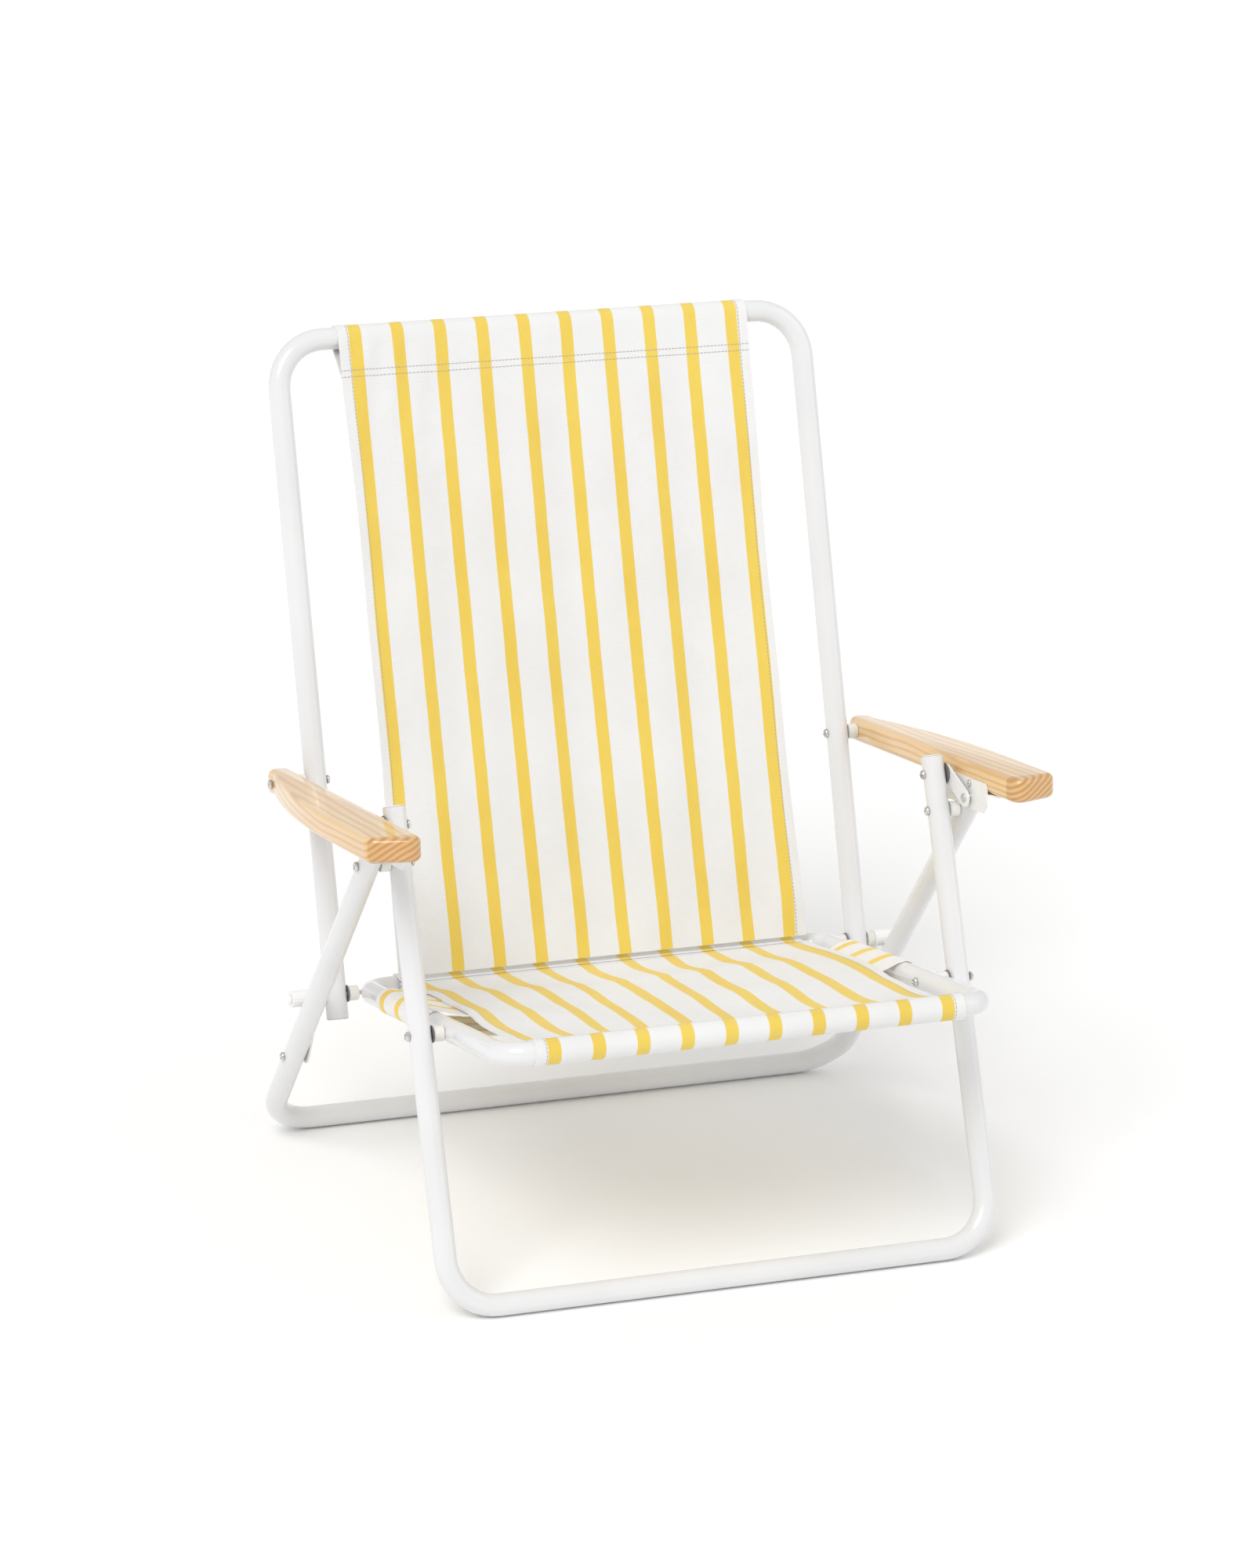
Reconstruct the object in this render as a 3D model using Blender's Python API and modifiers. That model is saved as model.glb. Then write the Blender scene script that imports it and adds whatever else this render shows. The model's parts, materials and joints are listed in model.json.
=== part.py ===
"""Folding beach chair: four bent-tube frames, a canvas sling, wooden armrests and their fold linkage.

Metres, +Z up, the sitter faces -Y. The floor is z = 0. x = 0 is the plane of symmetry.
Side-view points are (y, z) pairs; every pivot axis runs along x.
"""

import math

import bmesh
import bpy
from mathutils import Matrix, Vector

# Tubes
TUBE_R = 0.011
TUBE_WALL = 0.0012
TUBE_SIDES = 16
ARC_STEPS = 7
LEG_BEND_R = 0.048
SEAT_FRONT_BEND_R = 0.027
SEAT_REAR_BEND_R = 0.024

# Clearances
GAP = 0.0003
HOLE_CLEARANCE = 0.0003
FLANGE_CLEARANCE = 0.0004
STUB_CLEARANCE = 0.0010

# Half widths of the frames, tube centre line to the plane of symmetry
SEAT_X = 0.2455
LEG_GAP = 0.012
REAR_GAP = 0.010
FRONT_LEG_X = SEAT_X + 2 * TUBE_R + LEG_GAP
BACK_X = FRONT_LEG_X
REAR_LEG_X = FRONT_LEG_X + 2 * TUBE_R + REAR_GAP

# Seat rail line in side view: the front leg pivot, the slope (rising to the front), and distances along it
SEAT_PIVOT = (-0.1740, 0.2475)
SEAT_SLOPE = math.radians(13.2)
PIVOT_TO_FRONT_BAR = 0.1440
PIVOT_TO_HINGE = 0.2558
HINGE_TO_CROSSBAR = 0.008

# Front legs: lean from vertical, and distances up the leg from the pivot to the bolts and the tube end
FRONT_LEG_LEAN = math.radians(25.55)
PIVOT_TO_STOP_BOLT = 0.1655
PIVOT_TO_STRAP_BOLT = 0.2013
PIVOT_TO_LEG_TOP = 0.2184

# Rear legs: the tube past the stop bolt, and the link bolt's distance up the leg from the floor bar
REAR_LEG_PAST_BOLT = 0.020
REAR_BAR_TO_LINK_BOLT = 0.130

# Back frame: lean from vertical, and distances up the leg from the hinge
BACK_LEAN = math.radians(21.7)
BACK_BELOW_HINGE = 0.0235
HINGE_TO_ARM_BOLT = 0.2126
HINGE_TO_TOP_BAR = 0.6468

# Armrests. The wood's underside passes this far above the stop bolt; its width swells from the bolt forwards
ARM_THICK = 0.024
WOOD_ABOVE_STOP = 0.0258
ARM_ABOVE_STOP = WOOD_ABOVE_STOP + ARM_THICK / 2
ARM_PAST_STOP = 0.1403
ARM_FRONT_SKEW = 0.022
ARM_REAR = 0.0240
ARM_WIDTH_REAR = 0.0235
ARM_WIDTH_FRONT = 0.0515
ARM_FLARE = 0.250
ARM_FLARE_STEPS = 8
ARM_END_R = 0.012
ARM_EDGE = 0.0035
ARM_EDGE_ANGLE = math.radians(50)

# Bracket under each armrest: distances past the stop bolt, heights above it or above the wood's mid line
SHEET = 0.002
RIVET_PAST_STOP = 0.0330
RIVET_ABOVE_STOP = 0.0164
BRACKET_SCREW_PAST_STOP = 0.0348
BRACKET_SCREW_HEIGHT = -0.0070
FLANGE_BEHIND_STOP = 0.0217
FLANGE_PAST_STOP = 0.0733
FLANGE_TOP = -0.0020
FLANGE_CHAMFER = 0.009
FLANGE_CORNER = 0.004
NOTCH_DEPTH = 0.0020
RAMP_DROP = 0.0010
PLATE_PAST_STOP = (0.0023, 0.0863)
PLATE_WIDTH = 0.0300

# Straps, links and fasteners
STRAP_W = 0.018
STRAP_HOLE_R = 0.0049
LINK_W = 0.018
BOLT_R = 0.0025
HEAD_R = 0.0046
HEAD_H = 0.0030
NUT_R = 0.0048
NUT_H = 0.0030
STRAP_NUT_R = 0.0068
STRAP_NUT_H = 0.0026
SPACER_R = 0.0075
WASHER_R = 0.0085
BIG_WASHER_R = 0.0100
WASHER_T = 0.0012
STUB_R = 0.0083
STUB_PAST_LEG = 0.0035
BOLT_SIDES = 12
RING_SIDES = 16
# Rounding of a pan head: (share of its height, share of its radius), and of a nut's shoulder
HEAD_ROUNDING = ((0.0, 0.55), (0.3, 0.88), (0.65, 1.0))
NUT_SHOULDER = (0.65, 0.75)
NUT_THREAD_PAST = 0.001
SMALL_HEAD = (0.0036, 0.002)
STUD_HEAD = (0.0050, 0.0025)
SCREW_IN_WOOD = 0.0110
SCREW_HOLE_IN_WOOD = 0.0120
RIVET_HEAD_R = 0.0044
RIVET_HEAD_H = 0.0020
RIVET_ROUNDING = ((1.0, 0.7), (0.4, 1.0))
RIVET_TAIL = (0.0040, 0.0032, 0.0015)
STUD_ENTRY = 0.0002
HINGE_BOLT_PAST_RAIL = 0.004
PLUG_DEPTH = 0.010
PLUG_RIM = 0.0004
PLUG_DOME = 0.0016

# Canvas: the sling's edge from the seat rail, the crease from the crossbar, the band along the rails;
# the angle left open in a sleeve, and the share of the band's width over which the seat comes down off it
SLING_FROM_RAIL = 0.0275
CLOTH = 0.0015
CLOTH_GAP = 0.0004
SLEEVE_SIDES = 22
SLEEVE_SEAM = 0.5
FRONT_SLEEVE_SWEEP = 1.5 * math.pi
BAND_RAMP = 0.25
CREASE_FORWARD = 0.0215
CREASE_UP = 0.0150
BACK_ABOVE_CREASE = 0.008
BACK_SPLIT = 0.082
SPLIT_GAP = 0.0008
POCKET_INSET = 0.004
BAND_REAR = 0.062
BAND_FRONT = 0.205
BAND_LIFT = 0.0034
BAND_SIDES = 9


def unit(angle):
    return Vector((math.cos(angle), math.sin(angle)))


def along(start, direction, distance):
    return Vector(start) + direction * distance


def tangent_point(centre, radius, far, sign):
    """Where a line from far touches a circle."""
    to_far = Vector(far) - Vector(centre)
    lean = math.acos(radius / to_far.length)
    base = math.atan2(to_far.y, to_far.x)
    return Vector(centre) + unit(base + sign * lean) * radius


def arm_width(forward):
    """Width of the armrest at a distance forward of its bolt."""
    share = min(1.0, max(0.0, forward / ARM_FLARE))
    return ARM_WIDTH_REAR + (ARM_WIDTH_FRONT - ARM_WIDTH_REAR) * share * (2 - share)


SEAT_BACKWARD = unit(-SEAT_SLOPE)
FRONT_LEG_UP = unit(math.pi / 2 - FRONT_LEG_LEAN)
BACK_UP = unit(math.pi / 2 - BACK_LEAN)

LEG_PIVOT = Vector(SEAT_PIVOT)
HINGE = along(LEG_PIVOT, SEAT_BACKWARD, PIVOT_TO_HINGE)
SEAT_BAR = along(LEG_PIVOT, SEAT_BACKWARD, -PIVOT_TO_FRONT_BAR)
CROSSBAR = along(HINGE, SEAT_BACKWARD, HINGE_TO_CROSSBAR)
STOP_BOLT = along(LEG_PIVOT, FRONT_LEG_UP, PIVOT_TO_STOP_BOLT)
STRAP_BOLT = along(LEG_PIVOT, FRONT_LEG_UP, PIVOT_TO_STRAP_BOLT)
LEG_TOP = along(LEG_PIVOT, FRONT_LEG_UP, PIVOT_TO_LEG_TOP)
PIVOT_HEIGHT_UP_LEG = (LEG_PIVOT.y - TUBE_R) / FRONT_LEG_UP.y
FRONT_BAR = along(LEG_PIVOT, FRONT_LEG_UP, -PIVOT_HEIGHT_UP_LEG)
# The rear leg passes just under and in front of the hinge stub on its way to the floor
REAR_LEG_UP = (
    STOP_BOLT - tangent_point(HINGE, TUBE_R + STUB_R + STUB_CLEARANCE, STOP_BOLT, 1.0)
).normalized()
REAR_BAR = along(STOP_BOLT, REAR_LEG_UP, (TUBE_R - STOP_BOLT.y) / REAR_LEG_UP.y)
REAR_LEG_TOP = along(STOP_BOLT, REAR_LEG_UP, REAR_LEG_PAST_BOLT)
LINK_BOLT = along(REAR_BAR, REAR_LEG_UP, REAR_BAR_TO_LINK_BOLT)
BACK_END = along(HINGE, BACK_UP, -BACK_BELOW_HINGE)
ARM_BOLT = along(HINGE, BACK_UP, HINGE_TO_ARM_BOLT)
TOP_BAR = along(HINGE, BACK_UP, HINGE_TO_TOP_BAR)
ARM_FORWARD = (tangent_point(STOP_BOLT, ARM_ABOVE_STOP, ARM_BOLT, 1.0) - ARM_BOLT).normalized()
ARM_UP = Vector((ARM_FORWARD.y, -ARM_FORWARD.x))

# Layers along x, counted outwards from the plane of symmetry
SEAT_IN = SEAT_X - TUBE_R
SEAT_OUT = SEAT_X + TUBE_R
LEG_IN = FRONT_LEG_X - TUBE_R
LEG_OUT = FRONT_LEG_X + TUBE_R
REAR_IN = REAR_LEG_X - TUBE_R
REAR_OUT = REAR_LEG_X + TUBE_R
FLANGE_OUT = REAR_IN - FLANGE_CLEARANCE
FLANGE_IN = FLANGE_OUT - SHEET
WOOD_IN = FLANGE_OUT + GAP
STRAP_IN = LEG_OUT + GAP + WASHER_T + GAP
STRAP_OUT = STRAP_IN + SHEET
WOOD_OUT_AT_BOLT = WOOD_IN + arm_width(NUT_R)
STUB_END = REAR_OUT + STUB_PAST_LEG
HOLE_R = BOLT_R + HOLE_CLEARANCE


def arm_point(forward, above):
    """Side-view point given in armrest coordinates."""
    return ARM_BOLT + ARM_FORWARD * forward + ARM_UP * above


def in_arm(point):
    """Armrest coordinates of a side-view point."""
    offset = Vector(point) - ARM_BOLT
    return Vector((offset.dot(ARM_FORWARD), offset.dot(ARM_UP)))


STOP_IN_ARM = in_arm(STOP_BOLT)
ARM_FRONT = STOP_IN_ARM.x + ARM_PAST_STOP
RIVET = arm_point(STOP_IN_ARM.x + RIVET_PAST_STOP, STOP_IN_ARM.y + RIVET_ABOVE_STOP)
BRACKET_SCREW = arm_point(STOP_IN_ARM.x + BRACKET_SCREW_PAST_STOP, BRACKET_SCREW_HEIGHT)

for stale in list(bpy.data.objects):
    bpy.data.objects.remove(stale, do_unlink=True)

chair = bpy.data.collections.new("beach_chair")
bpy.context.scene.collection.children.link(chair)
helpers = bpy.data.collections.new("cutters")
bpy.context.scene.collection.children.link(helpers)
helpers.hide_render = True


def make_material(name, colour, roughness, metallic=0.0):
    material = bpy.data.materials.new(name)
    material.use_nodes = True
    shader = material.node_tree.nodes["Principled BSDF"]
    shader.inputs["Base Color"].default_value = (*colour, 1.0)
    shader.inputs["Roughness"].default_value = roughness
    shader.inputs["Metallic"].default_value = metallic
    return material


PAINT = make_material("white_powder_coat", (0.86, 0.86, 0.85), 0.3)
CANVAS = make_material("striped_canvas", (0.86, 0.83, 0.74), 0.9)
WOOD = make_material("varnished_wood", (0.74, 0.50, 0.27), 0.35)
CHROME = make_material("bright_screw", (0.62, 0.62, 0.62), 0.2, 1.0)
NYLON = make_material("white_nylon", (0.82, 0.82, 0.80), 0.5)
DARK = make_material("dark_washer", (0.06, 0.06, 0.06), 0.5)


def add_object(name, mesh, material, origin=(0.0, 0.0), smooth=True):
    """Puts a mesh in world coordinates into the chair, with the object's origin at a side-view point."""
    place = Vector((0.0, origin[0], origin[1]))
    mesh.transform(Matrix.Translation(-place))
    mesh.name = name
    mesh.materials.clear()
    mesh.materials.append(material)
    for face in mesh.polygons:
        face.use_smooth = smooth
    obj = bpy.data.objects.new(name, mesh)
    obj.location = place
    chair.objects.link(obj)
    return obj


def evaluated_mesh(obj, renew_normals=True):
    """The object's mesh with its modifiers, welded and in world coordinates; the object is removed.

    A closed wall keeps its own normals, because renewing them would turn its inner side round.
    """
    bpy.context.view_layer.update()
    graph = bpy.context.evaluated_depsgraph_get()
    mesh = bpy.data.meshes.new_from_object(obj.evaluated_get(graph))
    mesh.transform(obj.matrix_world)
    bpy.data.objects.remove(obj, do_unlink=True)
    work = bmesh.new()
    work.from_mesh(mesh)
    bmesh.ops.remove_doubles(work, verts=work.verts, dist=0.00001)
    if renew_normals:
        bmesh.ops.recalc_face_normals(work, faces=work.faces)
    work.to_mesh(mesh)
    work.free()
    return mesh


def helper_object(name, data):
    obj = bpy.data.objects.new(name, data)
    bpy.context.scene.collection.objects.link(obj)
    return obj


def fillet(points, radius, closed=False):
    """The polyline's points with every corner replaced by an arc."""
    out = []
    count = len(points)
    for index, corner in enumerate(points):
        if not closed and index in (0, count - 1):
            out.append(corner)
            continue
        bend = radius[index] if isinstance(radius, (list, tuple)) else radius
        to_last = (points[index - 1] - corner).normalized()
        to_next = (points[(index + 1) % count] - corner).normalized()
        half = to_last.angle(to_next) / 2
        centre = corner + (to_last + to_next).normalized() * (bend / math.sin(half))
        first = corner + to_last * (bend / math.tan(half)) - centre
        last = corner + to_next * (bend / math.tan(half)) - centre
        sweep = first.angle(last)
        for step in range(ARC_STEPS + 1):
            share = step / ARC_STEPS
            spoke = first * math.sin((1 - share) * sweep) + last * math.sin(share * sweep)
            out.append(centre + spoke / math.sin(sweep))
    return out


def tube_mesh(path, closed=False):
    """A hollow round tube along a path."""
    curve = bpy.data.curves.new("tube", "CURVE")
    curve.dimensions = "3D"
    curve.bevel_depth = TUBE_R
    curve.bevel_resolution = (TUBE_SIDES - 4) // 2
    curve.use_fill_caps = False
    spline = curve.splines.new("POLY")
    spline.points.add(len(path) - 1)
    for point, where in zip(spline.points, path):
        point.co = (*where, 1.0)
    spline.use_cyclic_u = closed
    skin = evaluated_mesh(helper_object("tube", curve))
    shell = helper_object("shell", skin)
    wall = shell.modifiers.new("wall", "SOLIDIFY")
    wall.thickness = TUBE_WALL
    wall.offset = -1.0
    wall.use_even_offset = True
    return evaluated_mesh(shell, renew_normals=False)


def drilled(mesh, holes):
    """The mesh with round holes along x cut through it: (side-view point, radius, from x, to x)."""
    body = helper_object("drilled", mesh)
    cutters = []
    for centre, radius, start, end in holes:
        bpy.ops.mesh.primitive_cylinder_add(
            vertices=16,
            radius=radius,
            depth=abs(end - start),
            location=((start + end) / 2, centre[0], centre[1]),
            rotation=(0.0, math.pi / 2, 0.0),
        )
        cutter = bpy.context.object
        cutter.name = "drill"
        cutter.hide_render = True
        cutter.display_type = "WIRE"
        for home in list(cutter.users_collection):
            home.objects.unlink(cutter)
        helpers.objects.link(cutter)
        cut = body.modifiers.new("hole", "BOOLEAN")
        cut.operation = "DIFFERENCE"
        cut.solver = "EXACT"
        cut.object = cutter
        cutters.append(cutter)
    result = evaluated_mesh(body)
    for cutter in cutters:
        bpy.data.objects.remove(cutter, do_unlink=True)
    return result


def joined(mesh, other):
    """One mesh from two that overlap."""
    added = helper_object("added", other)
    added.hide_render = True
    body = helper_object("joined", mesh)
    join = body.modifiers.new("join", "BOOLEAN")
    join.operation = "UNION"
    join.solver = "EXACT"
    join.object = added
    result = evaluated_mesh(body)
    bpy.data.objects.remove(added, do_unlink=True)
    return result


def extruded(outlines, start, end, frame=None):
    """A flat outline, with any holes, given thickness along x, or along a frame's third axis."""
    curve = bpy.data.curves.new("plate", "CURVE")
    curve.dimensions = "2D"
    curve.fill_mode = "BOTH"
    curve.extrude = (end - start) / 2
    for outline in outlines:
        spline = curve.splines.new("POLY")
        spline.points.add(len(outline) - 1)
        for point, where in zip(spline.points, outline):
            point.co = (where[0], where[1], 0.0, 1.0)
        spline.use_cyclic_u = True
    plate = helper_object("plate", curve)
    if frame is None:
        frame = Matrix(((0, 0, 1, 0), (1, 0, 0, 0), (0, 1, 0, 0), (0, 0, 0, 1)))
    plate.matrix_world = frame @ Matrix.Translation((0, 0, (start + end) / 2))
    return evaluated_mesh(plate)


def turned(profile, centre, steps=RING_SIDES):
    """A solid of revolution about an x axis through a side-view point; profile is (x, radius) pairs."""
    mesh = bpy.data.meshes.new("profile")
    closed = profile[0][1] > 0 and profile[-1][1] > 0
    edges = [(i, i + 1) for i in range(len(profile) - 1)]
    if closed:
        edges.append((len(profile) - 1, 0))
    mesh.from_pydata([(x, 0.0, radius) for x, radius in profile], edges, [])
    obj = helper_object("turned", mesh)
    screw = obj.modifiers.new("spin", "SCREW")
    screw.axis = "X"
    screw.steps = steps
    screw.render_steps = steps
    screw.use_merge_vertices = True
    screw.merge_threshold = 0.00001
    obj.location = (0.0, centre[0], centre[1])
    return evaluated_mesh(obj)


def circle(centre, radius, count=16, start=0.0, sweep=2 * math.pi, closed=True):
    steps = count if closed else count - 1
    return [
        Vector(centre) + unit(start + sweep * index / steps) * radius for index in range(count)
    ]


def side_name(name, side):
    return f"{name}_{'right' if side > 0 else 'left'}"


def mirrored(mesh, side):
    """The mesh as built for the right side, or its mirror image for the left."""
    if side < 0:
        mesh.transform(Matrix.Scale(-1, 4, (1, 0, 0)))
        mesh.flip_normals()
    return mesh


def u_frame(half_width, ends, bar):
    """Path of a U: up one leg, across the bar, down the other."""
    left_end = Vector((-half_width, ends[0], ends[1]))
    left_corner = Vector((-half_width, bar[0], bar[1]))
    right_corner = Vector((half_width, bar[0], bar[1]))
    right_end = Vector((half_width, ends[0], ends[1]))
    return fillet([left_end, left_corner, right_corner, right_end], LEG_BEND_R)


def across(centre):
    """A bolt hole through both legs of a frame."""
    reach = REAR_OUT + TUBE_R
    return (centre, HOLE_R, -reach, reach)


# Frames
seat_path = fillet(
    [
        Vector((-SEAT_X, *SEAT_BAR)),
        Vector((SEAT_X, *SEAT_BAR)),
        Vector((SEAT_X, *CROSSBAR)),
        Vector((-SEAT_X, *CROSSBAR)),
    ],
    [SEAT_FRONT_BEND_R, SEAT_FRONT_BEND_R, SEAT_REAR_BEND_R, SEAT_REAR_BEND_R],
    closed=True,
)
add_object(
    "seat_frame",
    drilled(tube_mesh(seat_path, closed=True), [across(LEG_PIVOT), across(HINGE)]),
    PAINT,
    HINGE,
)
add_object(
    "front_leg_frame",
    drilled(
        tube_mesh(u_frame(FRONT_LEG_X, LEG_TOP, FRONT_BAR)),
        [across(LEG_PIVOT), across(STOP_BOLT), across(STRAP_BOLT)],
    ),
    PAINT,
    LEG_PIVOT,
)
add_object(
    "rear_leg_frame",
    drilled(
        tube_mesh(u_frame(REAR_LEG_X, REAR_LEG_TOP, REAR_BAR)),
        [across(STOP_BOLT), across(LINK_BOLT)],
    ),
    PAINT,
    STOP_BOLT,
)
add_object(
    "back_frame",
    drilled(
        tube_mesh(u_frame(BACK_X, BACK_END, TOP_BAR)),
        [across(HINGE), across(ARM_BOLT)],
    ),
    PAINT,
    HINGE,
)


def arm_frame():
    """Armrest coordinates as a matrix: forward, outwards, up."""
    forward = Vector((0.0, *ARM_FORWARD))
    up = Vector((0.0, *ARM_UP))
    outward = up.cross(forward)
    matrix = Matrix.Identity(4)
    for column, axis in enumerate((forward, outward, up)):
        matrix.col[column][:3] = axis
    matrix.translation = Vector((0.0, *ARM_BOLT))
    return matrix


ARM_FRAME = arm_frame()
OUTWARD_SIGN = 1.0 if ARM_FRAME.col[1][0] > 0 else -1.0


def arm_outline():
    """Plan view of the right armrest: (forward, outward distance)."""
    rear_r = arm_width(0.0) / 2
    flare = [ARM_FLARE * step / ARM_FLARE_STEPS for step in range(ARM_FLARE_STEPS + 1)]
    outer = [Vector((forward, WOOD_IN + arm_width(forward))) for forward in flare]
    corners = [
        Vector((ARM_FRONT - ARM_FRONT_SKEW, WOOD_IN + ARM_WIDTH_FRONT)),
        Vector((ARM_FRONT, WOOD_IN)),
    ]
    rear_centre = Vector((rear_r - ARM_REAR, WOOD_IN + rear_r))
    front = fillet([outer[-1], *corners, Vector((rear_centre.x, WOOD_IN))], ARM_END_R)[1:-1]
    rear = circle(rear_centre, rear_r, 9, -math.pi / 2, -math.pi, closed=False)
    return outer + front + rear


def bevelled(mesh, width):
    obj = helper_object("bevelled", mesh)
    edge = obj.modifiers.new("rounded_edge", "BEVEL")
    edge.width = width
    edge.segments = 2
    edge.limit_method = "ANGLE"
    edge.angle_limit = ARM_EDGE_ANGLE
    return evaluated_mesh(obj)


def flange_outline():
    """Side view of the bracket's flange, with the notch that rests on the stop spacer in its lower edge."""
    stop = STOP_IN_ARM
    rear = stop.x - FLANGE_BEHIND_STOP
    front = stop.x + FLANGE_PAST_STOP
    notch_r = SPACER_R + GAP
    lower = stop.y + notch_r - NOTCH_DEPTH
    reach = math.acos((notch_r - NOTCH_DEPTH) / notch_r)
    notch = circle(stop, notch_r, 5, math.pi / 2, -reach, closed=False)
    points = [
        Vector((rear, stop.y + notch_r - RAMP_DROP)),
        *notch,
        Vector((front - FLANGE_CHAMFER, lower)),
        Vector((front, lower + FLANGE_CHAMFER)),
        Vector((front, FLANGE_TOP - FLANGE_CORNER)),
        Vector((front - FLANGE_CORNER, FLANGE_TOP)),
        Vector((rear + FLANGE_CHAMFER, FLANGE_TOP)),
        Vector((rear, FLANGE_TOP - FLANGE_CHAMFER)),
    ]
    return [arm_point(*point) for point in points]


def bracket_mesh():
    """The flange beside the armrest and the round-fronted plate under it, folded from one sheet."""
    holes = [circle(RIVET, HOLE_R), circle(BRACKET_SCREW, HOLE_R)]
    flange = extruded([flange_outline(), *holes], FLANGE_IN, FLANGE_OUT)
    top = -ARM_THICK / 2 - GAP
    tip_r = PLATE_WIDTH / 2
    inner = FLANGE_IN + SHEET / 2
    rear, front = (STOP_IN_ARM.x + distance for distance in PLATE_PAST_STOP)
    outline = [
        Vector((rear, OUTWARD_SIGN * inner)),
        Vector((rear, OUTWARD_SIGN * (inner + PLATE_WIDTH))),
    ]
    tip_centre = (front - tip_r, OUTWARD_SIGN * (inner + tip_r))
    outline += circle(
        tip_centre, tip_r, 9, OUTWARD_SIGN * math.pi / 2, -OUTWARD_SIGN * math.pi, closed=False
    )
    return joined(flange, extruded([outline], top - SHEET, top, ARM_FRAME))


def slot_plate(first, second, width, start, end, first_r, second_r):
    """A strap with rounded ends and a round hole at each."""
    axis = second - first
    angle = math.atan2(axis.y, axis.x)
    outline = circle(second, width / 2, 9, angle - math.pi / 2, math.pi, closed=False)
    outline += circle(first, width / 2, 9, angle + math.pi / 2, math.pi, closed=False)
    return extruded([outline, circle(first, first_r), circle(second, second_r)], start, end)


def ring(centre, inner, outer, start, end):
    return turned([(start, inner), (start, outer), (end, outer), (end, inner)], centre)


def pan_head(head_at, way, radius, height):
    """Profile of a pan head whose flat face is at head_at, from the axis outwards."""
    back = head_at - way * height
    crown = [(back + way * height * high, radius * wide) for high, wide in HEAD_ROUNDING]
    return [(back, 0.0), *crown, (head_at, radius), (head_at, BOLT_R)]


def bolt(centre, head_at, tip, head_r=HEAD_R, head_h=HEAD_H):
    """A pan-head bolt: the head's flat face is at head_at and the shank runs to tip."""
    way = math.copysign(1.0, tip - head_at)
    profile = [*pan_head(head_at, way, head_r, head_h), (tip, BOLT_R), (tip, 0.0)]
    return turned(profile, centre, BOLT_SIDES)


def riveted_bolt(centre, head_at, far_at, far_r=NUT_R, far_h=NUT_H):
    """A pan-head bolt and the lock nut crimped on its far end, as one piece."""
    way = math.copysign(1.0, far_at - head_at)
    end = far_at + way * far_h
    profile = [
        *pan_head(head_at, way, HEAD_R, HEAD_H),
        (far_at, BOLT_R),
        (far_at, far_r),
        (far_at + way * far_h * NUT_SHOULDER[0], far_r),
        (end, far_r * NUT_SHOULDER[1]),
        (end, 0.0),
    ]
    return turned(profile, centre, BOLT_SIDES)


def lock_nut(centre, face):
    """A round-shouldered nut with its flat face at face and its thread's hole through it."""
    end = face + NUT_H
    profile = [
        (face, HOLE_R),
        (face, NUT_R),
        (face + NUT_H * NUT_SHOULDER[0], NUT_R),
        (end, NUT_R * NUT_SHOULDER[1]),
        (end, HOLE_R),
    ]
    return turned(profile, centre, BOLT_SIDES)


def strap_rivet_mesh():
    """A rivet with its head inside the strap, a collar outside it, and a tail outside the flange."""
    head = STRAP_IN - GAP
    collar_in = STRAP_OUT + GAP
    collar_out = FLANGE_IN - GAP
    tail = FLANGE_OUT + GAP
    tail_r, tail_end_r, tail_h = RIVET_TAIL
    profile = [
        (head - RIVET_HEAD_H, 0.0),
        *[(head - RIVET_HEAD_H * high, RIVET_HEAD_R * wide) for high, wide in RIVET_ROUNDING],
        (head, RIVET_HEAD_R),
        (head, BOLT_R),
        (collar_in, BOLT_R),
        (collar_in, RIVET_HEAD_R),
        (collar_out, RIVET_HEAD_R),
        (collar_out, BOLT_R),
        (tail, BOLT_R),
        (tail, tail_r),
        (tail + tail_h, tail_end_r),
        (tail + tail_h, 0.0),
    ]
    return turned(profile, RIVET, BOLT_SIDES)


def pivot_pieces(part, name, pivot):
    """The nylon spacer and the dark washer between a seat rail and the leg outside it."""
    washer_in = LEG_IN - GAP - WASHER_T
    part(f"{name}_spacer", ring(pivot, HOLE_R, SPACER_R, SEAT_OUT + GAP, washer_in - GAP), NYLON, pivot)
    part(f"{name}_washer", ring(pivot, HOLE_R, WASHER_R, washer_in, LEG_IN - GAP), DARK, pivot)


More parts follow.
